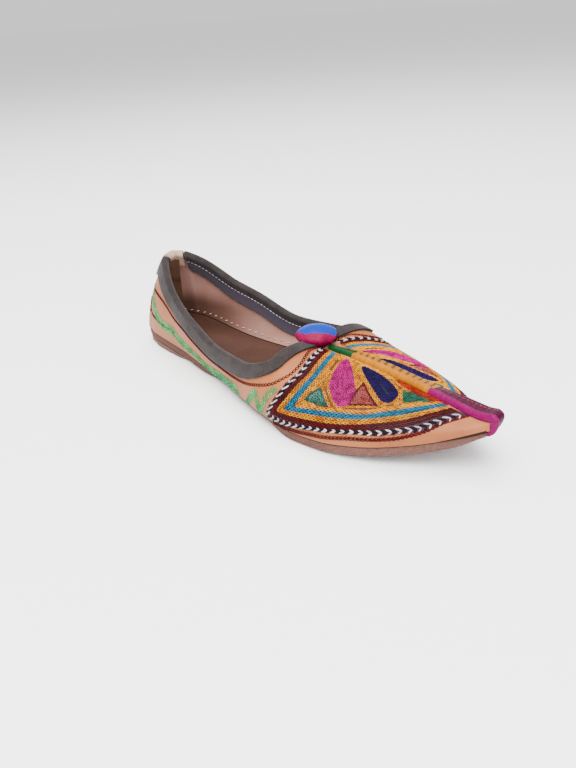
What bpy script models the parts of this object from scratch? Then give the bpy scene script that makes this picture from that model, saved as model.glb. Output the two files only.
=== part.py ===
"""A pointed mojari slipper: hollow leather upper on a flat leather sole.

The toe points to +X, the sole stands on Z = 0 and the shoe is the same on both sides of
the plane Y = 0.  Lengths are metres.  Every curved piece is worked out from one function,
upper_point, which turns a station along the shoe and a share of the way up the section
there into a point of the upper's outer skin.
"""

from typing import NamedTuple

import bmesh
import bpy
import numpy as np

MM = 0.001

# Driving sizes of the last
LAST_LENGTH = 258.5 * MM
BALL_WIDTH = 82.0 * MM
COUNTER_HEIGHT = 53.0 * MM
INSTEP_HEIGHT = 27.6 * MM
HEEL_LIFT_HEIGHT = 4.7 * MM
TOE_SPRING = 16.7 * MM

# Materials as the maker cuts them
WALL = 2.0 * MM
SOLE_THICKNESS = 4.8 * MM
SOLE_INSET = 0.5 * MM
SOLE_EDGE_ROUND = 0.8 * MM
SOLE_WAIST_TUCK = 5.5 * MM
INSOLE_THICKNESS = 1.6 * MM
HEEL_BREAST = 62.0 * MM
CLEARANCE = 0.3 * MM

# Suede binding round the collar and the folded tab that closes it at the back
BINDING_THICKNESS = 1.0 * MM
BINDING_DEPTH = 9.5 * MM
TAB_WIDTH = 13.0 * MM
TAB_THICKNESS = 1.2 * MM
TAB_DEPTH_OUTSIDE = 13.0 * MM
TAB_DEPTH_INSIDE = 16.0 * MM
TAB_GAP = 1.0 * MM

# Wrapped cord on the ridge of the vamp, in three colours that end at shares of the ridge's
# length, and the pompom at its root
CORD_WIDTH = 4.8 * MM
CORD_HEIGHT = 2.2 * MM
CORD_START_AHEAD = 11.5 * MM
GREEN_END = 0.22
YELLOW_END = 0.65
CORD_TOE_DROP_SHARE = 0.85
POMPOM_WIDTH = 21.5 * MM
POMPOM_HEIGHT = 9.6 * MM
POMPOM_SET_BACK = 1.5 * MM

# How finely the curved pieces are divided
LINES_PER_ROW = 4
RIDGE_LINES_PER_ROW = 4
COLLAR_STEPS = 3
SIDE_STEPS = 7
WAIST_TUCK_PLACES = (4.0, 5.5, 7.2, 9.2)
CORD_STEP = 4.0 * MM
CAVITY_END_SHARE = 0.95
INSOLE_END_SHARE = 0.92
OUTSOLE_END_SHARE = 0.9957
ON_MIDDLE = 1e-7

# Roundness of small shapes
FOLD_CORNER = 0.8
THIN_EDGE_SHARE = 0.3
TAB_LINES = 5
TIP_FAN = 9
TIP_FAN_SKIP = 4
CORD_LEVEL_UNTIL = 0.75
CORD_ARCH_DEGREES = (90.0, 60.0, 30.0, 0.0)
POMPOM_SEGMENTS = 24
POMPOM_RINGS = 12


class Section(NamedTuple):
    """One section of the last, from the feather edge up to its middle line.

    base and turn place the section: it stands over the middle line at base, a share of the
    last's length, and looks turn degrees away from the toe.  reach, swell and shoulder are
    shares of half the ball width; lift and spring are shares of the heel lift and the toe
    spring; rise and droop are shares of the section's own height, which is a share of the
    counter height plus a share of the instep height.
    """

    base: float
    turn: float
    reach: float
    lift: float
    spring: float
    swell: float
    rise: float
    shoulder: float
    droop: float
    counter: float
    instep: float


#             base   turn  reach  lift  spring  swell  rise  should droop  counter instep
SECTIONS = {
    "back": Section(0.104, 180.0, 0.66, 1.0, 0.0, -0.04, 0.42, 0.12, -0.02, 1.0, 0.0),
    "heel corner": Section(0.104, 155.0, 0.66, 1.0, 0.0, -0.05, 0.41, 0.16, -0.02, 0.99, 0.0),
    "heel round": Section(0.104, 122.0, 0.52, 0.95, 0.0, 0.0, 0.40, 0.24, -0.01, 0.99, 0.0),
    "heel side": Section(0.135, 100.0, 0.505, 0.80, 0.0, 0.095, 0.40, 0.40, 0.015, 0.965, 0.0),
    "seat": Section(0.193, 90.0, 0.51, 0.50, 0.0, 0.15, 0.39, 0.57, 0.02, 0.925, 0.0),
    "quarter": Section(0.286, 90.0, 0.57, 0.12, 0.0, 0.23, 0.39, 0.695, 0.03, 0.725, 0.265),
    "waist": Section(0.388, 90.0, 0.68, 0.0, 0.0, 0.205, 0.43, 0.685, 0.07, 0.41, 0.655),
    "instep": Section(0.490, 90.0, 0.84, 0.0, 0.0, 0.175, 0.585, 0.645, 0.39, 0.175, 0.74),
    "throat": Section(0.580, 90.0, 0.95, 0.0, 0.0, 0.175, 0.815, 0.645, 0.475, 0.0, 0.94),
    "ball": Section(0.658, 90.0, 1.0, 0.0, 0.0, 0.145, 0.785, 0.525, 0.16, 0.0, 0.91),
    "vamp": Section(0.735, 90.0, 0.96, 0.0, 0.055, 0.12, 0.75, 0.41, 0.04, 0.0, 0.83),
    "toe root": Section(0.816, 90.0, 0.80, 0.0, 0.195, 0.093, 0.78, 0.31, -0.08, 0.0, 0.675),
    "toe": Section(0.897, 90.0, 0.505, 0.0, 0.445, 0.068, 0.77, 0.20, -0.16, 0.0, 0.465),
    "beak": Section(0.959, 90.0, 0.245, 0.0, 0.77, 0.045, 0.85, 0.13, -0.26, 0.0, 0.24),
    "tip": Section(1.0, 90.0, 0.0, 0.0, 1.0, 0.0, 0.85, 0.0, -0.30, 0.0, 0.16),
}


class ToplinePoint(NamedTuple):
    """A point of the collar's edge.

    station and cut place it on the upper: cut is the share of the section that is kept
    below it.  foot is the station on the feather edge that the mesh line from it runs to.
    """

    station: float
    cut: float
    foot: float


TOPLINE = (
    ToplinePoint(0.0, 0.725, 0.0),
    ToplinePoint(1.0, 0.72, 1.0),
    ToplinePoint(2.0, 0.705, 2.0),
    ToplinePoint(3.0, 0.635, 3.0),
    ToplinePoint(4.0, 0.51, 4.0),
    ToplinePoint(5.0, 0.435, 5.0),
    ToplinePoint(6.0, 0.35, 6.0),
    ToplinePoint(7.15, 0.38, 7.05),
    ToplinePoint(8.02, 0.55, 8.55),
    ToplinePoint(8.01, 0.80, 9.3),
    ToplinePoint(7.87, 1.0, 10.0),
)


def rounded_through(rows, place):
    """Values of a table between its rows, on a smooth curve that never overshoots a row."""
    rows = np.asarray(rows, float)
    place = np.clip(np.asarray(place, float), 0.0, len(rows) - 1.0)
    steps = np.diff(rows, axis=0)
    slopes = np.zeros_like(rows)
    before, after = steps[:-1], steps[1:]
    same_way = before * after > 0.0
    total = np.where(same_way, before + after, 1.0)
    slopes[1:-1] = np.where(same_way, 2.0 * before * after / total, 0.0)
    slopes[0] = steps[0]
    slopes[-1] = steps[-1]
    index = np.minimum(place.astype(int), len(rows) - 2)
    t = (place - index)[..., None]
    start, end = rows[index], rows[index + 1]
    return (
        (1 + 2 * t) * (1 - t) ** 2 * start
        + t * (1 - t) ** 2 * slopes[index]
        + t * t * (3 - 2 * t) * end
        + t * t * (t - 1) * slopes[index + 1]
    )


def section_table():
    """The sections as real sizes, with a mirrored row before the first for the round heel."""
    half_ball = BALL_WIDTH / 2.0
    rows = []
    for s in SECTIONS.values():
        height = s.counter * COUNTER_HEIGHT + s.instep * INSTEP_HEIGHT
        feather = CLEARANCE + SOLE_THICKNESS + s.lift * HEEL_LIFT_HEIGHT + s.spring * TOE_SPRING
        rows.append((
            s.base * LAST_LENGTH,
            np.radians(s.turn),
            s.reach * half_ball,
            feather,
            s.swell * half_ball,
            s.rise * height,
            s.shoulder * half_ball,
            s.droop * height,
            feather + height,
        ))
    mirrored = list(rows[1])
    mirrored[1] = 2.0 * np.pi - mirrored[1]
    return np.array([mirrored] + rows)


SECTION_ROWS = section_table()
LAST_STATION = len(SECTIONS) - 1.0


def upper_point(station, share):
    """Outer skin of the upper, on the +Y side: a Bezier arc from the feather edge (share 0)
    to the middle line (share 1)."""
    station, v = np.broadcast_arrays(np.asarray(station, float), np.asarray(share, float))
    row = rounded_through(SECTION_ROWS, station + 1.0)
    base, turn, reach, feather, swell, rise, shoulder, droop, crown = np.moveaxis(row, -1, 0)
    w = 1.0 - v
    out = w**3 * reach + 3 * w * w * v * (reach + swell) + 3 * w * v * v * shoulder
    up = (w**3 * feather + 3 * w * w * v * (feather + rise)
          + 3 * w * v * v * (crown + droop) + v**3 * crown)
    return np.stack([base + out * np.cos(turn), out * np.sin(turn), up], axis=-1)


def skin_slopes(station, share, step=1e-4):
    """How the skin runs along the shoe and up the section."""
    along_a = np.clip(np.asarray(station, float) - step, 0.0, LAST_STATION)
    along_b = np.clip(np.asarray(station, float) + step, 0.0, LAST_STATION)
    up_a = np.clip(np.asarray(share, float) - step, 0.0, 1.0)
    up_b = np.clip(np.asarray(share, float) + step, 0.0, 1.0)
    along = (upper_point(along_b, share) - upper_point(along_a, share)) / (along_b - along_a)[..., None]
    up = (upper_point(station, up_b) - upper_point(station, up_a)) / (up_b - up_a)[..., None]
    return along, up


def unit(vector):
    """The vector made one long."""
    return vector / np.maximum(np.linalg.norm(vector, axis=-1, keepdims=True), 1e-12)


def skin_normal(station, share):
    """Outward normal of the skin; on the middle plane it stays in that plane."""
    along, up = skin_slopes(station, share)
    normal = unit(np.cross(up, along))
    middle = np.abs(upper_point(station, share)[..., 1]) < ON_MIDDLE
    normal[..., 1] = np.where(middle, 0.0, normal[..., 1])
    return unit(normal)


def walk(station, share, direction, distance, steps=4):
    """Moves a point over the skin, a distance in a direction, and returns where it lands."""
    for _ in range(steps):
        along, up = skin_slopes(station, share)
        slopes = np.stack([along, up], axis=-1)
        moved = np.linalg.lstsq(slopes, unit(direction) * distance / steps, rcond=None)[0]
        station = np.clip(station + moved[0], 0.0, LAST_STATION)
        share = np.clip(share + moved[1], 0.0, 1.0)
    return station, share


def topline_place(place):
    """Station, cut and foot of the collar's edge, from the back (0) to the throat's middle."""
    rows = [(p.station, p.cut, p.foot) for p in TOPLINE]
    return rounded_through(rows, place)


TOPLINE_END = len(TOPLINE) - 1.0

# Places on the collar: strips hang plumb round the back, then turn square to the edge
COLLAR_PLUMB_UNTIL = 2.0
COLLAR_TURNS_OVER = 1.5


def collar_frame(place):
    """Place on the skin, edge point, normal and downward run at one place of the collar."""
    station, cut, _ = topline_place(place)
    edge = upper_point(station, cut)
    ahead = upper_point(*topline_place(min(place + 0.01, TOPLINE_END))[:2])
    behind = upper_point(*topline_place(max(place - 0.01, 0.0))[:2])
    run = ahead - behind
    if edge[1] < ON_MIDDLE:
        run = np.array([0.0, 1.0 if place < 1.0 else -1.0, 0.0])
    normal = skin_normal(station, cut)
    square = unit(np.cross(normal, unit(run)))
    plumb = -unit(skin_slopes(station, cut)[1])
    turned = np.clip((place - COLLAR_PLUMB_UNTIL) / COLLAR_TURNS_OVER, 0.0, 1.0)
    return station, cut, edge, normal, unit(plumb + (square - plumb) * turned)


def collar_depths(place, depths):
    """Places on the skin at several depths below the collar's edge."""
    station, cut, _, _, down = collar_frame(place)
    return np.array([walk(station, cut, down, depth) for depth in depths])


class Shell:
    """Vertices and faces of a piece that is the same on both sides of Y = 0."""

    def __init__(self):
        self.points = []
        self.faces = []

    def pair(self, point):
        """Adds a point and its mirror image, and returns both indexes."""
        x, y, z = (float(value) for value in point)
        self.points.append((x, y, z))
        here = len(self.points) - 1
        if abs(y) < ON_MIDDLE:
            self.points[here] = (x, 0.0, z)
            return here, here
        self.points.append((x, -y, z))
        return here, here + 1

    def line(self, points):
        """Adds a row of mirrored points."""
        return [self.pair(point) for point in points]

    def face(self, *corners):
        """Adds a face and its mirror image, leaving out corners that fall together."""
        for side in (0, 1):
            loop = [corner[side] for corner in corners]
            if side:
                loop.reverse()
            loop = [v for k, v in enumerate(loop) if v != loop[k - 1]]
            if len(loop) > 2:
                self.faces.append(loop)

    def across(self, corners):
        """Adds one face that spans both sides, from corners listed on the +Y side."""
        loop = [corner[0] for corner in corners]
        loop += [corner[1] for corner in reversed(corners)]
        loop = [v for k, v in enumerate(loop) if v != loop[k - 1]]
        self.faces.append(loop)


def add_piece(name, points, faces, material, smooth_angle=40.0):
    """Makes a closed mesh object with outward faces, shaded smooth."""
    mesh = bpy.data.meshes.new(name)
    mesh.from_pydata(points, [], faces)
    bm = bmesh.new()
    bm.from_mesh(mesh)
    bmesh.ops.remove_doubles(bm, verts=bm.verts, dist=1e-6)
    bmesh.ops.triangulate(bm, faces=[f for f in bm.faces if len(f.verts) > 4])
    bmesh.ops.recalc_face_normals(bm, faces=bm.faces)
    if bm.calc_volume(signed=True) < 0.0:
        bmesh.ops.reverse_faces(bm, faces=bm.faces)
    bm.to_mesh(mesh)
    bm.free()
    mesh.shade_smooth()
    mesh.set_sharp_from_angle(angle=np.radians(smooth_angle))
    mesh.materials.append(material)
    piece = bpy.data.objects.new(name, mesh)
    bpy.context.collection.objects.link(piece)
    return piece


def finish(name, colour, roughness, metallic=0.0):
    """A plain Principled material."""
    material = bpy.data.materials.new(name)
    material.use_nodes = True
    shader = material.node_tree.nodes["Principled BSDF"]
    shader.inputs["Base Color"].default_value = (*colour, 1.0)
    shader.inputs["Roughness"].default_value = roughness
    shader.inputs["Metallic"].default_value = metallic
    return material


def collar_lines():
    """Mesh lines of the collar, from its edge square down under the binding, then straight
    to the feather edge; each is a row of stations and shares."""
    places = np.linspace(0.0, TOPLINE_END, int(TOPLINE_END) * LINES_PER_ROW + 1)
    depths = BINDING_DEPTH * np.linspace(0.0, 1.0, COLLAR_STEPS + 1)
    down = np.linspace(0.0, 1.0, SIDE_STEPS + 1)[1:, None]
    lines = []
    for place in places:
        under = collar_depths(place, depths)
        foot = np.array([topline_place(place)[2], 0.0])
        lines.append(np.concatenate([under, under[-1] + (foot - under[-1]) * down]))
    return np.array(lines)


def vamp_lines(first):
    """Mesh lines ahead of the throat, from the ridge down to the feather edge."""
    foot_start = first[-1][0]
    count = int((LAST_STATION - foot_start) * RIDGE_LINES_PER_ROW) + 2
    ahead = np.linspace(0.0, 1.0, count)[1:, None]
    down = np.linspace(0.0, 1.0, SIDE_STEPS + 1)[None, :]
    top = first[0][0] + (LAST_STATION - first[0][0]) * ahead
    foot = foot_start + (LAST_STATION - foot_start) * ahead
    stations = top + (foot - top) * down
    return np.stack([stations, np.broadcast_to(1.0 - down, stations.shape)], axis=-1)


def skin_and_lining(line):
    """Points of the outer skin and of the lining, a wall's thickness inside it."""
    outer = upper_point(line[:, 0], line[:, 1])
    normal = skin_normal(line[:, 0], line[:, 1])
    inner = outer - normal * WALL
    level = unit(normal[-1] * np.array([1.0, 1.0, 0.0]))
    inner[-1] = outer[-1] - level * WALL
    on_middle = outer[:, 1] < ON_MIDDLE
    inner[:, 1] = np.where(on_middle, 0.0, np.maximum(inner[:, 1], CLEARANCE))
    return outer, inner


def build_upper(leather):
    """The upper: one hollow wall, open at the collar and underneath, solid in the beak."""
    shell = Shell()

    def add_lines(lines):
        pairs = [skin_and_lining(line) for line in lines]
        return [shell.line(p[0]) for p in pairs], [shell.line(p[1]) for p in pairs]

    def join(rows, outwards):
        for a, b in zip(rows[:-1], rows[1:]):
            for j in range(1, len(a)):
                loop = (a[j], b[j], b[j - 1], a[j - 1])
                shell.face(*(loop if outwards else loop[::-1]))

    def close_feather(skin, lining):
        for k in range(1, len(skin)):
            shell.face(skin[k][-1], skin[k - 1][-1], lining[k - 1][-1], lining[k][-1])

    collar = collar_lines()
    skin, lining = add_lines(collar)
    join(lining, False)
    join(skin, True)
    close_feather(skin, lining)
    for k in range(1, len(skin)):
        shell.face(skin[k - 1][0], skin[k][0], lining[k][0], lining[k - 1][0])

    vamp = vamp_lines(collar[-1][COLLAR_STEPS:])
    cavity_end = int(np.argmin(np.abs(vamp[:, -1, 0] - CAVITY_END_SHARE * LAST_STATION))) + 1
    front_skin, front_lining = add_lines(vamp)
    front_skin.insert(0, skin[-1][COLLAR_STEPS:])
    front_lining.insert(0, lining[-1][COLLAR_STEPS:])
    front_lining = front_lining[: cavity_end + 1]
    join(front_skin, True)
    join(front_lining, False)
    close_feather(front_skin[: cavity_end + 1], front_lining)
    end = front_lining[-1]
    for j in range(1, len(end)):
        shell.across([end[j], end[j - 1]])
    shell.across([end[-1], front_skin[cavity_end][-1], front_skin[cavity_end + 1][-1]])
    for k in range(cavity_end + 2, len(front_skin)):
        shell.across([front_skin[k - 1][-1], front_skin[k][-1]])
    return add_piece("upper", shell.points, shell.faces, leather)


def feather_edge(station, inset):
    """The feather edge moved inwards in plan, with its height."""
    edge = upper_point(station, 0.0)
    ahead = upper_point(np.minimum(station + 1e-3, LAST_STATION), 0.0)
    behind = upper_point(np.maximum(station - 1e-3, 0.0), 0.0)
    run = unit((ahead - behind) * np.array([1.0, 1.0, 0.0]))
    outward = np.stack([-run[..., 1], run[..., 0], np.zeros_like(run[..., 0])], axis=-1)
    back = station < 1e-9
    outward[back] = (-1.0, 0.0, 0.0)
    inside = edge - outward * inset
    inside[..., 1] = np.maximum(inside[..., 1], 0.0)
    inside[back, 1] = 0.0
    return inside


def plate(name, stations, inset, top, bottom, edge_round, material, tuck=0.0):
    """A plate along the feather edge; top and bottom give its heights at each station, and
    tuck how far its side slopes in towards the bottom."""
    shell = Shell()
    high = feather_edge(stations, inset)
    side = feather_edge(stations, inset + tuck)
    low = feather_edge(stations, inset + tuck + edge_round)
    rows = []
    for k in range(len(stations)):
        curve = min(edge_round, (top[k] - bottom[k]) * THIN_EDGE_SHARE)
        rows.append((
            shell.pair((high[k][0], high[k][1], top[k])),
            shell.pair((side[k][0], side[k][1], bottom[k] + curve)),
            shell.pair((low[k][0], low[k][1], bottom[k])),
        ))
    for a, b in zip(rows[:-1], rows[1:]):
        for j in range(2):
            shell.face(a[j], a[j + 1], b[j + 1], b[j])
        shell.across([a[0], b[0]])
        shell.across([b[2], a[2]])
    for row in (rows[0], rows[-1]):
        if row[0][0] != row[0][1]:
            for j in range(2):
                shell.across([row[j], row[j + 1]])
    return add_piece(name, shell.points, shell.faces, material)


def waist_tuck(stations):
    """How far the sole's side slopes in: nothing at heel and ball, most at the waist."""
    reach = np.interp(stations, WAIST_TUCK_PLACES, (0.0, 1.0, 1.0, 0.0))
    return (SOLE_WAIST_TUCK * reach * reach * (3.0 - 2.0 * reach))[:, None]


def station_at(distance):
    """The station where the feather edge has come a distance from the back."""
    stations = np.linspace(0.0, LAST_STATION, 1401)
    edge = upper_point(stations, 0.0)
    return float(np.interp(distance, edge[:, 0] - edge[0, 0], stations))


def build_sole(sole_leather, stacked_leather, board):
    """Outsole with its waist and toe spring, the heel lift under it and the insole on it."""
    end = OUTSOLE_END_SHARE * LAST_STATION
    stations = np.linspace(0.0, end, int(LAST_STATION) * LINES_PER_ROW + 1)
    top = upper_point(stations, 0.0)[:, 2] - CLEARANCE
    plate("outsole", stations, SOLE_INSET, top, top - SOLE_THICKNESS, SOLE_EDGE_ROUND,
          sole_leather, waist_tuck(stations))

    breast = station_at(HEEL_BREAST)
    stations = np.linspace(0.0, breast, int(breast * LINES_PER_ROW) + 1)
    top = upper_point(stations, 0.0)[:, 2] - SOLE_THICKNESS - 2.0 * CLEARANCE
    plate("heel_lift", stations, SOLE_INSET + SOLE_EDGE_ROUND, top, np.zeros_like(top),
          SOLE_EDGE_ROUND, stacked_leather)

    end = INSOLE_END_SHARE * LAST_STATION
    stations = np.linspace(0.0, end, int(end * LINES_PER_ROW) + 1)
    bottom = upper_point(stations, 0.0)[:, 2]
    plate("insole", stations, WALL + CLEARANCE, bottom + INSOLE_THICKNESS, bottom,
          CLEARANCE, board)


def folded_profile(place, thickness, outside, inside):
    """Section of a strip folded over the collar's edge: the face on the wall, then the
    outer face, each from the foot outside over the edge to the foot inside."""
    _, _, edge, normal, down = collar_frame(place)
    shares = np.arange(COLLAR_STEPS, 0, -1) / COLLAR_STEPS
    outer_leg = collar_depths(place, outside * shares)
    inner_leg = collar_depths(place, inside * shares[::-1])

    def face(gap, corner):
        rim = edge - normal * WALL / 2.0
        half = WALL / 2.0 + gap
        over = [
            rim + normal * half * corner - down * gap * corner,
            rim - down * gap,
            rim - normal * half * corner - down * gap * corner,
        ]
        beside = [upper_point(*at) + skin_normal(*at) * gap for at in outer_leg]
        within = [upper_point(*at) - skin_normal(*at) * (WALL + gap) for at in inner_leg]
        return beside + over + within

    return face(CLEARANCE, 1.0), face(CLEARANCE + thickness, FOLD_CORNER)


def folded_strip(name, places, thickness, outside, inside, material):
    """A strip folded over the collar's edge along the given places of both sides."""
    shell = Shell()
    rows = []
    for place in places:
        near, far = folded_profile(place, thickness, outside, inside)
        rows.append((shell.line(near), shell.line(far)))
    count = len(rows[0][0])
    for (near_a, far_a), (near_b, far_b) in zip(rows[:-1], rows[1:]):
        for k in range(1, count):
            shell.face(near_a[k], near_a[k - 1], near_b[k - 1], near_b[k])
            shell.face(far_a[k - 1], far_a[k], far_b[k], far_b[k - 1])
        for k in (0, count - 1):
            shell.face(near_a[k], far_a[k], far_b[k], near_b[k])
    for (near, far), place in ((rows[0], places[0]), (rows[-1], places[-1])):
        if 0.0 < place < TOPLINE_END:
            for k in range(1, count):
                shell.face(near[k - 1], near[k], far[k], far[k - 1])
    return add_piece(name, shell.points, shell.faces, material)


def collar_place(half_width):
    """The place on the collar's edge that lies a distance off the middle plane, at the back."""
    places = np.linspace(0.0, 2.0, 801)
    at = topline_place(places)
    return float(np.interp(half_width, upper_point(at[:, 0], at[:, 1])[:, 1], places))


def build_collar(suede, folded_leather):
    """Suede binding from tab to tab and the folded tab at the back."""
    tab_end = collar_place(TAB_WIDTH / 2.0)
    start = collar_place(TAB_WIDTH / 2.0 + TAB_GAP)
    lines = np.linspace(0.0, TOPLINE_END, int(TOPLINE_END) * LINES_PER_ROW + 1)
    places = np.concatenate([[start], lines[lines > start + 0.05]])
    folded_strip("collar_binding", places, BINDING_THICKNESS, BINDING_DEPTH, BINDING_DEPTH,
                 suede)
    folded_strip("back_tab", np.linspace(0.0, tab_end, TAB_LINES), TAB_THICKNESS,
                 TAB_DEPTH_OUTSIDE, TAB_DEPTH_INSIDE, folded_leather)


def ridge_path():
    """Points, normals and lengths along the ridge, from the throat to the tip and down its
    front; at the tip the normal swings from up to forward over one point."""
    stations = np.linspace(TOPLINE[-1].station, LAST_STATION, 400)
    ridge = upper_point(stations, 1.0)
    run = unit(np.gradient(ridge, axis=0))
    normals = np.stack([-run[:, 2], np.zeros_like(stations), run[:, 0]], axis=-1)
    start = np.arctan2(normals[-1][2], normals[-1][0])
    swing = np.linspace(start, 0.0, TIP_FAN)
    fan = np.stack([np.cos(swing), np.zeros_like(swing), np.sin(swing)], axis=-1)
    drop = upper_point(LAST_STATION, np.linspace(1.0, 1.0 - CORD_TOE_DROP_SHARE, 20)[1:])
    front = np.broadcast_to(np.array([1.0, 0.0, 0.0]), drop.shape)
    points = np.concatenate([ridge, np.broadcast_to(ridge[-1], fan.shape), drop])
    normals = np.concatenate([normals, fan, front])
    middle = points + normals * (CLEARANCE + CORD_HEIGHT / 2.0)
    steps = np.linalg.norm(np.diff(middle, axis=0), axis=1)
    lengths = np.concatenate([[0.0], np.cumsum(steps)])
    corner = lengths[len(ridge) - 1 : len(ridge) + TIP_FAN : TIP_FAN_SKIP]
    return points, normals, lengths, corner


def skin_height(at_x, off_middle):
    """Height of the skin beside the ridge, at a distance along the shoe and off its middle."""
    ahead = np.linspace(TOPLINE[-1].station, LAST_STATION, 300)
    station = float(np.interp(at_x, upper_point(ahead, 1.0)[:, 0], ahead))
    shares = np.linspace(1.0, 0.4, 121)
    skin = upper_point(np.full_like(shares, station), shares)
    return float(np.interp(off_middle, skin[:, 1], skin[:, 2]))


def cord_section(point, normal):
    """Half a cord's section: a low arch, from its top to its foot on the skin and back."""
    arch = []
    foot = []
    for degrees in CORD_ARCH_DEGREES:
        angle = np.radians(degrees)
        off = CORD_WIDTH / 2.0 * np.cos(angle)
        rest = CLEARANCE
        if normal[2] > CORD_LEVEL_UNTIL:
            rest += max(0.0, skin_height(point[0], off) - point[2])
        aside = np.array([0.0, off, 0.0])
        arch.append(point + aside + normal * (rest + CORD_HEIGHT * np.sin(angle)))
        foot.append(point + aside + normal * rest)
    return arch + foot[-2::-1]


def build_cord(name, start, end, material):
    """One colour of the wrapped cord, between two lengths along the ridge."""
    points, normals, lengths, corner = ridge_path()
    count = max(3, int((end - start) / CORD_STEP) + 2)
    at = np.linspace(start, end, count)
    at = np.unique(np.concatenate([at, corner[(corner > start) & (corner < end)]]))
    shell = Shell()
    rows = []
    for length in at:
        here = np.array([np.interp(length, lengths, points[:, k]) for k in range(3)])
        normal = unit(np.array([np.interp(length, lengths, normals[:, k]) for k in range(3)]))
        rows.append(shell.line(cord_section(here, normal)))
    for a, b in zip(rows[:-1], rows[1:]):
        for k in range(1, len(a)):
            shell.face(a[k - 1], a[k], b[k], b[k - 1])
    for row in (rows[0], rows[-1]):
        shell.across(row)
    return add_piece(name, shell.points, shell.faces, material)


def build_ridge(green, yellow, magenta):
    """The three colours of the cord, end to end."""
    lengths = ridge_path()[2]
    green_end = GREEN_END * lengths[-1]
    yellow_end = YELLOW_END * lengths[-1]
    build_cord("ridge_cord_green", CORD_START_AHEAD, green_end - CLEARANCE, green)
    build_cord("ridge_cord_yellow", green_end, yellow_end - CLEARANCE, yellow)
    build_cord("ridge_cord_magenta", yellow_end, lengths[-1], magenta)


def pompom_seat(centre):
    """Height of the pompom's middle at which its round underside just clears the binding."""
    heights = []
    for place in np.linspace(TOPLINE_END - 3.0, TOPLINE_END, 25):
        _, face = folded_profile(place, BINDING_THICKNESS, BINDING_DEPTH, BINDING_DEPTH)
        for point in face:
            away = np.hypot(point[0] - centre[0], point[1]) / (POMPOM_WIDTH / 2.0)
            if away < 1.0:
                under = POMPOM_HEIGHT / 2.0 * np.sqrt(1.0 - away * away)
                heights.append(point[2] + CLEARANCE + under)
    return max(heights)


def build_pompom(felt):
    """The flattened wool pompom that lies on the binding at the middle of the throat."""
    centre = upper_point(TOPLINE[-1].station, 1.0)
    centre[0] -= POMPOM_SET_BACK
    centre[2] = pompom_seat(centre)
    size = np.array([POMPOM_WIDTH, POMPOM_WIDTH, POMPOM_HEIGHT])
    bpy.ops.mesh.primitive_uv_sphere_add(
        segments=POMPOM_SEGMENTS, ring_count=POMPOM_RINGS, radius=0.5)
    pompom = bpy.context.object
    pompom.name = "pompom"
    pompom.data.name = "pompom"
    for vertex in pompom.data.vertices:
        vertex.co = centre + size * np.array(vertex.co)
    pompom.data.materials.append(felt)
    pompom.data.shade_smooth()
    return pompom


def stand_on_origin():
    """Moves every mesh so that the middle of the whole shoe's base is the origin."""
    pieces = [piece for piece in bpy.data.objects if piece.type == "MESH"]
    corners = np.array([vertex.co for piece in pieces for vertex in piece.data.vertices])
    low, high = corners.min(axis=0), corners.max(axis=0)
    shift = (-(low[0] + high[0]) / 2.0, 0.0, -low[2])
    for piece in pieces:
        for vertex in piece.data.vertices:
            vertex.co = [vertex.co[k] + shift[k] for k in range(3)]


def main():
    """Clears the scene and builds the shoe."""
    for old in list(bpy.data.objects):
        bpy.data.objects.remove(old)
    tan_leather = finish("tan_leather", (0.62, 0.36, 0.22), 0.55)
    sole_leather = finish("sole_leather", (0.50, 0.36, 0.29), 0.75)
    stacked_leather = finish("stacked_leather", (0.45, 0.31, 0.26), 0.8)
    insole_leather = finish("insole_leather", (0.22, 0.12, 0.08), 0.6)
    grey_suede = finish("grey_suede", (0.13, 0.12, 0.13), 0.95)
    cream_leather = finish("cream_leather", (0.66, 0.55, 0.47), 0.6)
    green_thread = finish("green_thread", (0.02, 0.26, 0.12), 0.4)
    yellow_thread = finish("yellow_thread", (0.75, 0.42, 0.04), 0.4)
    magenta_thread = finish("magenta_thread", (0.55, 0.01, 0.17), 0.4)
    felt = finish("felt", (0.45, 0.01, 0.16), 0.7)

    build_upper(tan_leather)
    build_sole(sole_leather, stacked_leather, insole_leather)
    build_collar(grey_suede, cream_leather)
    build_ridge(green_thread, yellow_thread, magenta_thread)
    build_pompom(felt)
    stand_on_origin()


main()
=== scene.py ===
"""Looks of a pointed mojari slipper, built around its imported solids.

The shoe's outer skin is one function of a station along the shoe and a share of the way up
the section there.  Every piece here is laid on that function: the leather upper, the suede
binding, the wrapped cord on the ridge and each stitch of the embroidery.
"""

import logging
import math
from dataclasses import dataclass, field
from enum import Enum

import bmesh
import bpy
import numpy as np
from mathutils import Matrix, Vector
from mathutils.bvhtree import BVHTree


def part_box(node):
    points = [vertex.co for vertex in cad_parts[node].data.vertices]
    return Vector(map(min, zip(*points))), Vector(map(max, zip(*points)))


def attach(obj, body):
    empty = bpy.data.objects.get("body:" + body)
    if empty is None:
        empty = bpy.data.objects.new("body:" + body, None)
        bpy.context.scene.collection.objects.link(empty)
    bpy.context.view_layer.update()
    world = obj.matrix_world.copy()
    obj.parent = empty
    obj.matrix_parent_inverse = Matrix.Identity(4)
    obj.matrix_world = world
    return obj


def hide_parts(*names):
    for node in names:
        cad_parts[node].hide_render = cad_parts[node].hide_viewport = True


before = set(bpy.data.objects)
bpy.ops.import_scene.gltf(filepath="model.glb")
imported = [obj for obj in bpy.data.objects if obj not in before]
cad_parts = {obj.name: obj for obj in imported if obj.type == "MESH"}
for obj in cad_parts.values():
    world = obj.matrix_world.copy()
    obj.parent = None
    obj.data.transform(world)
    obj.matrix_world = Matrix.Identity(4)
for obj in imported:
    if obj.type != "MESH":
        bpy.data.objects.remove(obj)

LOG = logging.getLogger("mojari")
MM = 0.001
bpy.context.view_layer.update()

# How near a corner has to be to the middle plane, and how near two corners merge
ON_MIDDLE = 1e-7
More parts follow.
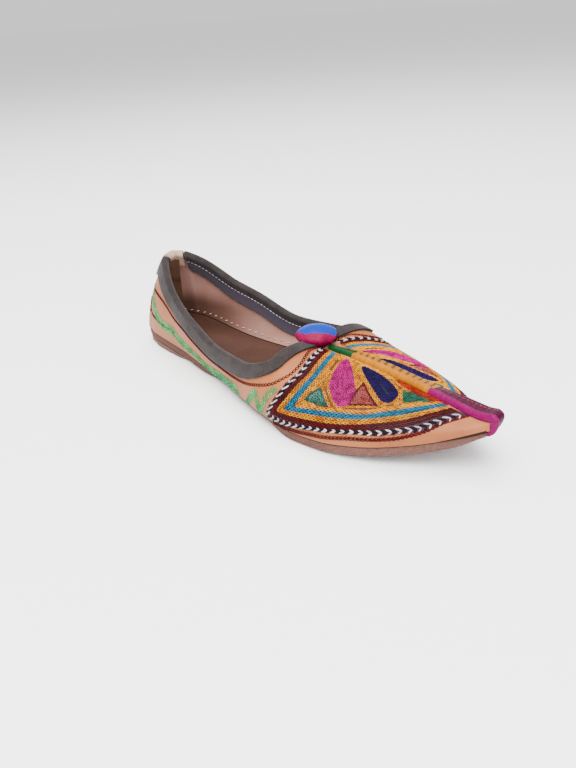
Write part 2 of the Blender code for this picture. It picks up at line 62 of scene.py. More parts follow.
WELD = 2e-5
FINE_WELD = 1e-6


class Side(Enum):
    """The two sides of the shoe: near shows in front, far lies behind the ridge."""

    NEAR = -1.0
    FAR = 1.0


# A section a row, from the heel's back to the tip.  Base (share of the length) and turn (degrees
# off ahead) set it up, reach, swell and shoulder are shares of half the ball's width, lift, spring,
# counter and instep are shares of those sizes, and rise and droop are shares of its own height.
SECTIONS = (
    (0.104, 180.0, 0.66, 1.0, 0.0, -0.04, 0.42, 0.12, -0.02, 1.0, 0.0),
    (0.104, 155.0, 0.66, 1.0, 0.0, -0.05, 0.41, 0.16, -0.02, 0.99, 0.0),
    (0.104, 122.0, 0.52, 0.95, 0.0, 0.0, 0.40, 0.24, -0.01, 0.99, 0.0),
    (0.135, 100.0, 0.505, 0.80, 0.0, 0.095, 0.40, 0.40, 0.015, 0.965, 0.0),
    (0.193, 90.0, 0.51, 0.50, 0.0, 0.15, 0.39, 0.57, 0.02, 0.925, 0.0),
    (0.286, 90.0, 0.57, 0.12, 0.0, 0.23, 0.39, 0.695, 0.03, 0.725, 0.265),
    (0.388, 90.0, 0.68, 0.0, 0.0, 0.205, 0.43, 0.685, 0.07, 0.41, 0.655),
    (0.490, 90.0, 0.84, 0.0, 0.0, 0.175, 0.585, 0.645, 0.39, 0.175, 0.74),
    (0.580, 90.0, 0.95, 0.0, 0.0, 0.175, 0.815, 0.645, 0.475, 0.0, 0.94),
    (0.658, 90.0, 1.0, 0.0, 0.0, 0.145, 0.785, 0.525, 0.16, 0.0, 0.91),
    (0.735, 90.0, 0.96, 0.0, 0.055, 0.12, 0.75, 0.41, 0.04, 0.0, 0.83),
    (0.816, 90.0, 0.80, 0.0, 0.195, 0.093, 0.78, 0.31, -0.08, 0.0, 0.675),
    (0.897, 90.0, 0.505, 0.0, 0.445, 0.068, 0.77, 0.20, -0.16, 0.0, 0.465),
    (0.959, 90.0, 0.245, 0.0, 0.77, 0.045, 0.85, 0.13, -0.26, 0.0, 0.24),
    (1.0, 90.0, 0.0, 0.0, 1.0, 0.0, 0.85, 0.0, -0.30, 0.0, 0.16),
)

# The collar's edge from back to throat: its station, its share up the section, and the station
# at the sole that its line down the side ends on
TOPLINE = (
    (0.0, 0.725, 0.0),
    (1.0, 0.72, 1.0),
    (2.0, 0.705, 2.0),
    (3.0, 0.635, 3.0),
    (4.0, 0.51, 4.0),
    (5.0, 0.435, 5.0),
    (6.0, 0.35, 6.0),
    (7.15, 0.38, 7.05),
    (8.02, 0.55, 8.55),
    (8.01, 0.80, 9.3),
    (7.87, 1.0, 10.0),
)


def unit(vector: np.ndarray) -> np.ndarray:
    """The vectors made one long."""
    return vector / np.maximum(np.linalg.norm(vector, axis=-1, keepdims=True), 1e-12)


def rounded_through(rows: np.ndarray, place: np.ndarray) -> np.ndarray:
    """Values of a table between its rows, on a smooth curve that never overshoots a row.

    Args:
        rows: the table, one row a whole place.
        place: where to read it.

    Returns:
        One row of values for each place.
    """
    rows = np.asarray(rows, float)
    place = np.clip(np.asarray(place, float), 0.0, len(rows) - 1.0)
    steps = np.diff(rows, axis=0)
    slopes = np.zeros_like(rows)
    before, after = steps[:-1], steps[1:]
    same_way = before * after > 0.0
    total = np.where(same_way, before + after, 1.0)
    slopes[1:-1] = np.where(same_way, 2.0 * before * after / total, 0.0)
    slopes[0] = steps[0]
    slopes[-1] = steps[-1]
    index = np.minimum(place.astype(int), len(rows) - 2)
    t = (place - index)[..., None]
    start, end = rows[index], rows[index + 1]
    return (
        (1 + 2 * t) * (1 - t) ** 2 * start
        + t * (1 - t) ** 2 * slopes[index]
        + t * t * (3 - 2 * t) * end
        + t * t * (t - 1) * slopes[index + 1]
    )


@dataclass
class Last:
    """The shoe's form: its driving sizes and the skin that they give, in the part's frame."""

    length: float = 258.5 * MM
    ball_width: float = 82.0 * MM
    counter_height: float = 53.0 * MM
    instep_height: float = 27.6 * MM
    heel_lift: float = 4.7 * MM
    toe_spring: float = 16.7 * MM
    sole: float = 4.8 * MM
    clearance: float = 0.3 * MM
    wall: float = 2.0 * MM
    plumb_until: float = 2.0
    turns_over: float = 1.5
    shift: float = 0.0
    rows: np.ndarray = field(init=False)
    end: float = len(SECTIONS) - 1.0
    collar_end: float = len(TOPLINE) - 1.0

    def __post_init__(self) -> None:
        """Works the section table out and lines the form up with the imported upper."""
        half_ball = self.ball_width / 2.0
        rows = []
        for (base, turn, reach, lift, spring, swell, rise, shoulder, droop, counter,
             instep) in SECTIONS:
            height = counter * self.counter_height + instep * self.instep_height
            feather = self.clearance + self.sole + lift * self.heel_lift + spring * self.toe_spring
            rows.append((base * self.length, math.radians(turn), reach * half_ball, feather,
                         swell * half_ball, rise * height, shoulder * half_ball,
                         droop * height, feather + height))
        mirrored = list(rows[1])
        mirrored[1] = 2.0 * math.pi - mirrored[1]
        self.rows = np.array([mirrored] + rows)
        back = self.point(0.0, np.linspace(0.0, 1.0, 200))[:, 0].min()
        self.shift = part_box("upper")[0].x - float(back)

    def point(self, station: np.ndarray, share: np.ndarray) -> np.ndarray:
        """Outer skin on the +Y side.

        Args:
            station: place along the shoe, a whole number at each section.
            share: place up the section, from the feather edge (0) to the middle (1).

        Returns:
            The points.
        """
        station, v = np.broadcast_arrays(np.asarray(station, float), np.asarray(share, float))
        row = rounded_through(self.rows, station + 1.0)
        base, turn, reach, feather, swell, rise, shoulder, droop, crown = np.moveaxis(row, -1, 0)
        w = 1.0 - v
        out = w**3 * reach + 3 * w * w * v * (reach + swell) + 3 * w * v * v * shoulder
        up = (w**3 * feather + 3 * w * w * v * (feather + rise)
              + 3 * w * v * v * (crown + droop) + v**3 * crown)
        return np.stack([base + self.shift + out * np.cos(turn), out * np.sin(turn), up], axis=-1)

    def slopes(self, station: np.ndarray, share: np.ndarray,
               step: float = 1e-4) -> tuple[np.ndarray, np.ndarray]:
        """How the skin runs.

        Args:
            station: places along the shoe.
            share: places up the section.
            step: how far apart it is compared.

        Returns:
            The skin's run along the shoe and its run up the section.
        """
        station, share = np.asarray(station, float), np.asarray(share, float)
        sa, sb = np.clip(station - step, 0.0, self.end), np.clip(station + step, 0.0, self.end)
        va, vb = np.clip(share - step, 0.0, 1.0), np.clip(share + step, 0.0, 1.0)
        along = (self.point(sb, share) - self.point(sa, share)) / (sb - sa)[..., None]
        up = (self.point(station, vb) - self.point(station, va)) / (vb - va)[..., None]
        return along, up

    def normal(self, station: np.ndarray, share: np.ndarray) -> np.ndarray:
        """Outward normal of the skin; on the middle plane it stays in that plane."""
        along, up = self.slopes(station, share)
        normal = unit(np.cross(up, along))
        middle = np.abs(self.point(station, share)[..., 1]) < ON_MIDDLE
        normal[..., 1] = np.where(middle, 0.0, normal[..., 1])
        return unit(normal)

    def walk(self, station: np.ndarray, share: np.ndarray, direction: np.ndarray,
             distance: np.ndarray, steps: int = 5) -> tuple[np.ndarray, np.ndarray]:
        """Moves points over the skin.

        Args:
            station: where they start along the shoe.
            share: where they start up the section.
            direction: which way each goes.
            distance: how far each goes.
            steps: how many legs each walk has.

        Returns:
            The stations and shares that they reach.
        """
        station, share = np.array(station, float), np.array(share, float)
        leg = unit(direction) * (np.asarray(distance, float) / steps)[..., None]
        for _ in range(steps):
            along, up = self.slopes(station, share)
            aa, au, uu = (along * along).sum(-1), (along * up).sum(-1), (up * up).sum(-1)
            ba, bu = (along * leg).sum(-1), (up * leg).sum(-1)
            det = np.maximum(aa * uu - au * au, 1e-14)
            station = np.clip(station + (uu * ba - au * bu) / det, 0.0, self.end)
            share = np.clip(share + (aa * bu - au * ba) / det, 0.0, 1.0)
        return station, share

    def collar(self, places: np.ndarray) -> tuple[np.ndarray, ...]:
        """The collar's edge at some places.

        Args:
            places: from the back (0) to the throat's middle (collar_end).

        Returns:
            Stations, cuts, feet, edge points, outward normals and downward runs.
        """
        places = np.asarray(places, float)
        station, cut, foot = np.moveaxis(rounded_through(TOPLINE, places), -1, 0)
        ahead = rounded_through(TOPLINE, np.minimum(places + 0.01, self.collar_end))
        behind = rounded_through(TOPLINE, np.maximum(places - 0.01, 0.0))
        edge = self.point(station, cut)
        run = self.point(ahead[..., 0], ahead[..., 1]) - self.point(behind[..., 0], behind[..., 1])
        middle = edge[..., 1] < ON_MIDDLE
        across = np.where(places < 1.0, 1.0, -1.0)
        run[middle] = np.stack([0 * across, across, 0 * across], axis=-1)[middle]
        normal = self.normal(station, cut)
        square = unit(np.cross(normal, unit(run)))
        plumb = -unit(self.slopes(station, cut)[1])
        turned = np.clip((places - self.plumb_until) / self.turns_over, 0.0, 1.0)[..., None]
        return station, cut, foot, edge, normal, unit(plumb + (square - plumb) * turned)

    def below_collar(self, places: np.ndarray, depth: np.ndarray) -> tuple[np.ndarray, np.ndarray]:
        """Places on the skin some way below the collar's edge."""
        station, cut, _, _, _, down = self.collar(places)
        return self.walk(station, cut, down, np.broadcast_to(depth, station.shape))

    def feather(self, station: np.ndarray, inset: np.ndarray) -> np.ndarray:
        """The feather edge moved inwards in plan, with its height."""
        station = np.asarray(station, float)
        edge = self.point(station, 0.0)
        run = self.point(np.minimum(station + 1e-3, self.end), 0.0)
        run = unit((run - self.point(np.maximum(station - 1e-3, 0.0), 0.0)) * (1.0, 1.0, 0.0))
        outward = np.stack([-run[..., 1], run[..., 0], np.zeros_like(run[..., 0])], axis=-1)
        outward[station < 1e-9] = (-1.0, 0.0, 0.0)
        inside = edge - outward * np.broadcast_to(inset, station.shape)[..., None]
        inside[..., 1] = np.where(station < 1e-9, 0.0, np.maximum(inside[..., 1], 0.0))
        return inside


LAST = Last()


# Node groups

def new_group(name: str, inputs: dict, outputs: dict) -> bpy.types.NodeTree:
    """An empty shader node group with its sockets.

    Args:
        name: the group's name.
        inputs: socket name to (kind, default value).
        outputs: socket name to kind.

    Returns:
        The group.
    """
    group = bpy.data.node_groups.new(name, "ShaderNodeTree")
    for label, (kind, value) in inputs.items():
        socket = group.interface.new_socket(label, in_out="INPUT", socket_type=kind)
        socket.default_value = value
    for label, kind in outputs.items():
        group.interface.new_socket(label, in_out="OUTPUT", socket_type=kind)
    group.nodes.new("NodeGroupInput").name = "in"
    group.nodes.new("NodeGroupOutput").name = "out"
    return group


class Wiring:
    """Adds and links nodes of one tree in few words."""

    def __init__(self, tree: bpy.types.NodeTree) -> None:
        """Keeps the tree."""
        self.tree = tree

    def node(self, kind: str, sets: dict | None = None, **inputs: object) -> bpy.types.Node:
        """Adds a node.

        Args:
            kind: the node's type, without its ShaderNode prefix.
            sets: properties of the node.
            inputs: values or source sockets for its inputs; a key like i1 means by number.

        Returns:
            The node.
        """
        node = self.tree.nodes.new("ShaderNode" + kind)
        for key, value in (sets or {}).items():
            setattr(node, key, value)
        for key, value in inputs.items():
            number = key[1:]
            socket = node.inputs[int(number) if number.isdigit() else key.replace("_", " ")]
            if isinstance(value, bpy.types.NodeSocket):
                self.tree.links.new(value, socket)
            else:
                socket.default_value = value
        return node

    def maths(self, operation: str, a: object, b: object = 0.0) -> bpy.types.NodeSocket:
        """One Math node's result."""
        return self.node("Math", {"operation": operation}, i0=a, i1=b).outputs[0]

    def noise(self, vector: object, scale: object, detail: float = 4.0,
              roughness: float = 0.55) -> bpy.types.NodeSocket:
        """A noise value."""
        node = self.node("TexNoise", None, Vector=vector, Scale=scale, Detail=detail,
                         Roughness=roughness)
        return node.outputs["Fac"]

    def ramp(self, value: object, low: float, high: float) -> bpy.types.NodeSocket:
        """The value spread smoothly from 0 at low to 1 at high."""
        node = self.node("MapRange", {"interpolation_type": "SMOOTHSTEP"}, Value=value)
        node.inputs["From Min"].default_value = low
        node.inputs["From Max"].default_value = high
        return node.outputs["Result"]

    def mix(self, share: object, a: object, b: object, blend: str = "MIX") -> bpy.types.NodeSocket:
        """Two colours mixed by a share."""
        node = self.node("Mix", {"data_type": "RGBA", "blend_type": blend, "clamp_factor": True})
        for socket, value in ((node.inputs[0], share), (node.inputs[6], a), (node.inputs[7], b)):
            if isinstance(value, bpy.types.NodeSocket):
                self.tree.links.new(value, socket)
            elif isinstance(value, (int, float)):
                socket.default_value = value
            else:
                socket.default_value = (*value[:3], 1.0)
        return node.outputs[2]


def grain_group() -> bpy.types.NodeTree:
    """Leather grain: a pore height, a slow mottle and a fine mottle, from a scale."""
    group = new_group("leather grain", {"Vector": ("NodeSocketVector", (0, 0, 0)),
                                        "Scale": ("NodeSocketFloat", 900.0)},
                      {"Height": "NodeSocketFloat", "Mottle": "NodeSocketFloat",
                       "Fine": "NodeSocketFloat"})
    w = Wiring(group)
    source, sink = group.nodes["in"], group.nodes["out"]
    vector, scale = source.outputs["Vector"], source.outputs["Scale"]
    pores = w.node("TexVoronoi", {"feature": "DISTANCE_TO_EDGE"}, Vector=vector, Scale=scale)
    ridge = w.ramp(pores.outputs["Distance"], 0.0, 0.25)
    fine = w.noise(vector, w.maths("MULTIPLY", scale, 2.3), 3.0)
    height = w.maths("ADD", w.maths("MULTIPLY", ridge, 0.6), w.maths("MULTIPLY", fine, 0.5))
    mottle = w.noise(vector, w.maths("MULTIPLY", scale, 0.035), 5.0, 0.6)
    for name, socket in (("Height", height), ("Mottle", mottle), ("Fine", fine)):
        group.links.new(socket, sink.inputs[name])
    return group


def fibre_group() -> bpy.types.NodeTree:
    """Short fibres and nap: a height and a tone, stretched along one axis of the vector."""
    group = new_group("fibres", {"Vector": ("NodeSocketVector", (0, 0, 0)),
                                 "Scale": ("NodeSocketFloat", 1500.0)},
                      {"Height": "NodeSocketFloat", "Tone": "NodeSocketFloat"})
    w = Wiring(group)
    source, sink = group.nodes["in"], group.nodes["out"]
    vector, scale = source.outputs["Vector"], source.outputs["Scale"]
    fine = w.noise(vector, scale, 2.0, 0.7)
    slow = w.noise(vector, w.maths("MULTIPLY", scale, 0.12), 4.0, 0.6)
    group.links.new(w.maths("ADD", fine, w.maths("MULTIPLY", slow, 0.4)), sink.inputs["Height"])
    group.links.new(w.maths("ADD", w.maths("MULTIPLY", fine, 0.5), w.maths("MULTIPLY", slow, 0.5)),
                    sink.inputs["Tone"])
    return group


GRAIN = grain_group()
FIBRES = fibre_group()


# How deep a full bump lies in leather, nap and thread, and how dark the painted shade low in the
# heel's lining is
LEATHER_DEPTH = 0.25 * MM
NAP_DEPTH = 0.30 * MM
THREAD_DEPTH = 0.12 * MM
HEEL_SHADE = (0.045, 0.018, 0.010)


@dataclass(frozen=True)
class Finish:
    """A material's plain values; the bump's strength is bump, and scale is its grain's."""

    name: str
    colour: tuple[float, float, float]
    dark: tuple[float, float, float]
    roughness: float = 0.6
    sheen: float = 0.0
    coat: float = 0.0
    bump: float = 0.3
    scale: float = 900.0
    gloss: float = 0.12

    def start(self) -> tuple[bpy.types.Material, Wiring, bpy.types.Node]:
        """A new material with its constant values set, its wiring and its shader."""
        material = bpy.data.materials.new(self.name)
        material.use_nodes = True
        shader = material.node_tree.nodes["Principled BSDF"]
        shader.inputs["Sheen Weight"].default_value = self.sheen
        shader.inputs["Sheen Roughness"].default_value = 0.4
        shader.inputs["Coat Weight"].default_value = self.coat
        shader.inputs["Coat Roughness"].default_value = 0.25
        shader.inputs["Specular IOR Level"].default_value = self.gloss
        return material, Wiring(material.node_tree), shader

    def bumped(self, w: Wiring, shader: bpy.types.Node, height: bpy.types.NodeSocket,
               distance: float) -> None:
        """Feeds a height to the shader's normal.

        Args:
            w: the material's wiring.
            shader: its shader.
            height: the height, from 0 to 1.
            distance: how deep a full height lies.
        """
        bump = w.node("Bump", None, Height=height, Strength=self.bump, Distance=distance)
        w.tree.links.new(bump.outputs["Normal"], shader.inputs["Normal"])


@dataclass(frozen=True)
class LeatherFinish(Finish):
    """Leather: painted on the mesh, streaked like a cut edge, or darkened low in the heel with
    painted shade.
    """

    painted: bool = False
    streak: float = 0.0
    shaded_heel: bool = False

    def make(self) -> bpy.types.Material:
        """The material."""
        material, w, shader = self.start()
        place = w.node("TexCoord").outputs["Object"]
        grain = w.node("Group", {"node_tree": GRAIN}, Vector=place, Scale=self.scale)
        tone = w.ramp(grain.outputs["Mottle"], 0.3, 0.7)
        colour = w.mix(tone, self.dark, self.colour)
        if self.painted:
            ground = w.node("Attribute", {"attribute_name": "ground"})
            cover = ground.outputs["Alpha"]
            colour = w.mix(cover, colour, ground.outputs["Color"])
        # Painted shade: the lining darkens towards the back and the bottom of the heel, where shade
        # falls inside the shoe
        if self.shaded_heel:
            split = w.node("SeparateXYZ", None, Vector=place)
            back = w.ramp(split.outputs["X"], -0.035, -0.100)
            low = w.ramp(split.outputs["Z"], 0.031, 0.018)
            share = w.maths("MULTIPLY", w.maths("MULTIPLY", back, low), 0.85)
            colour = w.mix(share, colour, HEEL_SHADE)
        fine = w.maths("ADD", 0.82, w.maths("MULTIPLY", grain.outputs["Fine"], 0.36))
        shade = w.node("CombineColor", None, Red=fine, Green=fine, Blue=fine)
        colour = w.mix(1.0, colour, shade.outputs[0], "MULTIPLY")
        height = grain.outputs["Height"]
        if self.streak:
            squash = w.node("Mapping", None, Vector=place)
            squash.inputs["Scale"].default_value = (1.0, 1.0, 9.0)
            layers = w.noise(squash.outputs[0], self.streak, 5.0, 0.7)
            colour = w.mix(w.ramp(layers, 0.35, 0.7), self.dark, colour)
            height = w.maths("ADD", height, w.maths("MULTIPLY", layers, 1.5))
        w.tree.links.new(colour, shader.inputs["Base Color"])
        rough = w.maths("ADD", self.roughness - 0.08,
                        w.maths("MULTIPLY", grain.outputs["Mottle"], 0.16))
        w.tree.links.new(rough, shader.inputs["Roughness"])
        self.bumped(w, shader, height, LEATHER_DEPTH)
        return material


@dataclass(frozen=True)
class NapFinish(Finish):
    """Suede, felt and other napped stuff; the mesh's band attribute turns it to a second colour."""

    second: tuple[float, float, float] = (0.05, 0.04, 0.06)

    def make(self) -> bpy.types.Material:
        """The material."""
        material, w, shader = self.start()
        place = w.node("TexCoord").outputs["Object"]
        nap = w.node("Group", {"node_tree": FIBRES}, Vector=place, Scale=self.scale)
        colour = w.mix(w.ramp(nap.outputs["Tone"], 0.3, 0.7), self.dark, self.colour)
        band = w.node("Attribute", {"attribute_name": "band"}).outputs["Fac"]
        colour = w.mix(w.maths("MULTIPLY", band, 0.8), colour, self.second)
        w.tree.links.new(colour, shader.inputs["Base Color"])
        shader.inputs["Roughness"].default_value = self.roughness
        self.bumped(w, shader, nap.outputs["Height"], NAP_DEPTH)
        return material


@dataclass(frozen=True)
class ThreadFinish(Finish):
    """Glossy embroidery or wrapping thread; the mesh's tint_and_crease_shade value varies its tone:
    at random on stitches and cord, and as painted shade and light in the creases on the flanges.
    """

    def make(self) -> bpy.types.Material:
        """The material."""
        material, w, shader = self.start()
        place = w.node("TexCoord").outputs["Object"]
        nap = w.node("Group", {"node_tree": FIBRES}, Vector=place, Scale=self.scale)
        tint_and_crease_shade = w.node("Attribute", {"attribute_name": "tint_and_crease_shade"}).outputs["Fac"]
        tone = w.maths("ADD", w.maths("MULTIPLY", nap.outputs["Tone"], 0.6),
                       w.maths("MULTIPLY", tint_and_crease_shade, 0.4))
        colour = w.mix(w.ramp(tone, 0.25, 0.75), self.dark, self.colour)
        w.tree.links.new(colour, shader.inputs["Base Color"])
        rough = w.maths("ADD", self.roughness, w.maths("MULTIPLY", nap.outputs["Tone"], 0.15))
        w.tree.links.new(rough, shader.inputs["Roughness"])
        self.bumped(w, shader, nap.outputs["Height"], THREAD_DEPTH)
        return material


# Mesh helpers

def values_of(data: bpy.types.bpy_prop_collection, label: str, width: int,
              kind: type = float) -> np.ndarray:
    """Reads one property of everything in a mesh's list.

    Args:
        data: the list, such as a mesh's vertices.
        label: the property.
        width: how many numbers it has.
        kind: what they are.

    Returns:
        An array with a row for each entry.
    """
    flat = np.empty(len(data) * width, kind)
    data.foreach_get(label, flat)
    return flat.reshape(-1, width)


def label_corners(mesh: bpy.types.Mesh, label: str, values: np.ndarray) -> None:
    """Keeps a number with each corner of a mesh."""
    mesh.attributes.new(label, "FLOAT", "POINT").data.foreach_set("value", values)


def nothing_selected() -> None:
    """Leaves object mode with nothing selected."""
    if bpy.context.object and bpy.context.object.mode != "OBJECT":
        bpy.ops.object.mode_set(mode="OBJECT")
    for other in bpy.context.selected_objects:
        other.select_set(False)


def only(piece: bpy.types.Object) -> None:
    """Makes a piece the one selected and active object."""
    nothing_selected()
    piece.select_set(True)
    bpy.context.view_layer.objects.active = piece


def laid_grid(name: str, points: np.ndarray) -> bpy.types.Object:
    """A grid primitive whose corners are laid on given points.

    Args:
        name: the piece's name.
        points: an array of rows by columns by 3.

    Returns:
        The piece, with faces that point to rows crossed by columns.
    """
    rows, columns = points.shape[:2]
    nothing_selected()
    bpy.ops.mesh.primitive_grid_add(x_subdivisions=rows - 1, y_subdivisions=columns - 1, size=2.0)
    piece = bpy.context.object
    piece.name = piece.data.name = name
    flat = values_of(piece.data.vertices, "co", 3)
    u = np.rint((flat[:, 0] + 1.0) / 2.0 * (rows - 1)).astype(int)
    v = np.rint((flat[:, 1] + 1.0) / 2.0 * (columns - 1)).astype(int)
    piece.data.vertices.foreach_set("co", points[u, v].ravel())
    order = piece.data.attributes.new("grid_place", "FLOAT_VECTOR", "POINT")
    place = np.stack([u, v, 0 * u], axis=-1).astype(float)
    order.data.foreach_set("vector", place.ravel())
    piece.data.update()
    return piece


def grid_places(piece: bpy.types.Object) -> np.ndarray:
    """Row and column of each corner of a laid grid."""
    places = values_of(piece.data.attributes["grid_place"].data, "vector", 3)
    return np.rint(places[:, :2]).astype(int)


def modified(piece: bpy.types.Object, kind: str, **settings: object) -> None:
    """Adds a modifier and applies it."""
    only(piece)
    modifier = piece.modifiers.new(kind.lower(), kind)
    for key, value in settings.items():
        setattr(modifier, key, value)
    bpy.ops.object.modifier_apply(modifier=modifier.name)


def mirrored_over(piece: bpy.types.Object, merge: float = 1e-5) -> None:
    """Mirrors a half over the middle plane and merges the corners that lie on it."""
    modified(piece, "MIRROR", use_axis=(False, True, False), use_mirror_merge=True,
             merge_threshold=merge)


def welded(piece: bpy.types.Object, outside: Vector | None = None,
           distance: float = 1e-5) -> None:
    """Merges doubles and points the faces outwards.

    Args:
        piece: the piece.
        outside: for an open skin, a direction that its first faces have to look to.
        distance: how near two corners have to be to merge.
    """
    only(piece)
    bpy.ops.object.mode_set(mode="EDIT")
    bpy.ops.mesh.select_all(action="SELECT")
    bpy.ops.mesh.remove_doubles(threshold=distance)
    bpy.ops.mesh.normals_make_consistent(inside=False)
    bpy.ops.object.mode_set(mode="OBJECT")
    if outside is not None:
        total = sum((f.normal * f.area for f in piece.data.polygons), Vector())
        if total.dot(outside) < 0.0:
            bpy.ops.object.mode_set(mode="EDIT")
            bpy.ops.mesh.flip_normals()
            bpy.ops.object.mode_set(mode="OBJECT")


def joined(pieces: list[bpy.types.Object], name: str) -> bpy.types.Object:
    """Several meshes made one."""
    nothing_selected()
    for piece in pieces:
        piece.select_set(True)
    bpy.context.view_layer.objects.active = pieces[0]
    bpy.ops.object.join()
    result = bpy.context.object
    result.name = result.data.name = name
    return result


def smooth(piece: bpy.types.Object, angle: float = 40.0) -> None:
    """Shades a piece smooth, with its hard edges kept."""
    only(piece)
    bpy.ops.object.shade_smooth_by_angle(angle=math.radians(angle))


def dressed(piece: bpy.types.Object, material: bpy.types.Material | None,
            replaces: str = "") -> None:
    """Gives a piece its material, its body and what it stands for.

    Args:
        piece: the piece.
        material: its material, or None where it has its materials already.
        replaces: the solid that it stands for.
    """
    if material is not None:
        piece.data.materials.append(material)
    if replaces:
        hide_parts(replaces)
    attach(piece, "root")
    faces = sum(len(p.vertices) - 2 for p in piece.data.polygons)
    LOG.info("%s: %d triangles", piece.name, faces)


@dataclass
class Instances:
    """One small shape set down many times and joined into one mesh."""

    name: str
    prototype: bpy.types.Object

    def build(self, frames: np.ndarray) -> bpy.types.Object:
        """Joins the copies.

        Args:
            frames: one 3 by 4 matrix a copy.

        Returns:
            The joined piece.
        """
        mesh = self.prototype.data
        corners = np.c_[values_of(mesh.vertices, "co", 3), np.ones(len(mesh.vertices))]
        loops = values_of(mesh.loops, "vertex_index", 1, int)[:, 0]
        starts = values_of(mesh.polygons, "loop_start", 1, int)[:, 0]
        totals = values_of(mesh.polygons, "loop_total", 1, int)[:, 0]
        count = len(frames)
        points = np.einsum("fij,vj->fvi", frames, corners).reshape(-1, 3)
        new = bpy.data.meshes.new(self.name)
        new.vertices.add(len(points))
        new.vertices.foreach_set("co", points.ravel())
        new.loops.add(count * len(loops))
        offsets = np.arange(count)[:, None] * len(corners)
        new.loops.foreach_set("vertex_index", (loops[None, :] + offsets).ravel())
        new.polygons.add(count * len(starts))
        shift = np.arange(count)[:, None] * len(loops)
        new.polygons.foreach_set("loop_start", (starts[None, :] + shift).ravel())
        new.polygons.foreach_set("loop_total", np.tile(totals, count))
        new.update(calc_edges=True)
        shades = np.random.default_rng(count).random(count)
        label_corners(new, "tint_and_crease_shade", np.repeat(shades, len(corners)))
        new.validate()
        new.shade_smooth()
        piece = bpy.data.objects.new(self.name, new)
        bpy.context.scene.collection.objects.link(piece)
        return piece


def frames_along(points: np.ndarray, tangents: np.ndarray, normals: np.ndarray,
                 length: float, width: float, height: float) -> np.ndarray:
    """Matrices that lay a unit shape along tangents, on normals, at a size.

    Args:
        points: where each copy lies.
        tangents: which way it runs.
        normals: which way its top looks.
        length: its length.
        width: its width.
        height: its height.

    Returns:
        One 3 by 4 matrix a copy.
    """
    x = unit(tangents)
    z = unit(normals - x * (normals * x).sum(-1, keepdims=True))
    y = np.cross(z, x)
    return np.stack([x * length, y * width, z * height, points], axis=-1)


# Curves on the skin

def lengths_along(points: np.ndarray) -> np.ndarray:
    """How far along a line each of its points lies."""
    return np.r_[0.0, np.cumsum(np.linalg.norm(np.diff(points, axis=0), axis=1))]


def read_at(values: np.ndarray, lengths: np.ndarray, where: np.ndarray) -> np.ndarray:
    """What a line's values are at some lengths.

    Args:
        values: a row for each point of the line.
        lengths: how far along the line each point lies.
        where: the lengths to read.

    Returns:
        A row for each of those lengths.
    """
    return np.stack([np.interp(where, lengths, column) for column in values.T], axis=-1)


def distance_to(points: np.ndarray, line: np.ndarray) -> np.ndarray:
    """How far each point lies from the nearest point of a line."""
    flat = points.reshape(-1, 3)
    chunk = 2000
    near = [np.linalg.norm(flat[k:k + chunk, None] - line[None], axis=-1).min(axis=1)
            for k in range(0, len(flat), chunk)]
    return np.concatenate(near).reshape(points.shape[:-1])


def curve_through(points: np.ndarray, count: int, closed: bool = False) -> np.ndarray:
    """A smooth curve through points of the (station, share) plane, evenly spaced on the skin.

    Args:
        points: the points that it passes.
        count: how many points it gets.
        closed: whether it runs back to its start.

    Returns:
        The curve's stations and shares.
    """
    p = np.asarray(points, float)
    if closed:
        p = np.concatenate([p[-1:], p, p[:2]])
    else:
        p = np.concatenate([2 * p[:1] - p[1:2], p, 2 * p[-1:] - p[-2:-1]])
    t = np.linspace(0.0, 1.0, 24, endpoint=False)[:, None]
    pieces = []
    for a, b, c, d in zip(p[:-3], p[1:-2], p[2:-1], p[3:]):
        pieces.append(0.5 * (2 * b + (c - a) * t + (2 * a - 5 * b + 4 * c - d) * t**2
                             + (3 * b - a - 3 * c + d) * t**3))
    dense = np.concatenate(pieces + [p[-2:-1]])
    dense[:, 0] = np.clip(dense[:, 0], 0.0, LAST.end)
    dense[:, 1] = np.clip(dense[:, 1], 0.0, 1.0)
    return evenly(dense, count)


def evenly(line: np.ndarray, count: int) -> np.ndarray:
    """A line of the (station, share) plane divided evenly by its length on the skin."""
    lengths = lengths_along(LAST.point(line[:, 0], line[:, 1]))
    return read_at(line, lengths, np.linspace(0.0, lengths[-1], count))


def skin_length(line: np.ndarray) -> float:
    """How long a line of the (station, share) plane is on the skin."""
    skin = LAST.point(line[:, 0], line[:, 1])
    return float(np.linalg.norm(np.diff(skin, axis=0), axis=1).sum())


def inside(points: np.ndarray, outline: np.ndarray) -> np.ndarray:
    """Which points of a plane lie in a closed outline."""
    x, y = points[..., 0], points[..., 1]
    result = np.zeros(x.shape, bool)
    for (xa, ya), (xb, yb) in zip(outline, np.roll(outline, -1, axis=0)):
        crosses = (ya > y) != (yb > y)
        at = xa + (y - ya) * (xb - xa) / (yb - ya + 1e-15)
        result ^= crosses & (x < at)
    return result


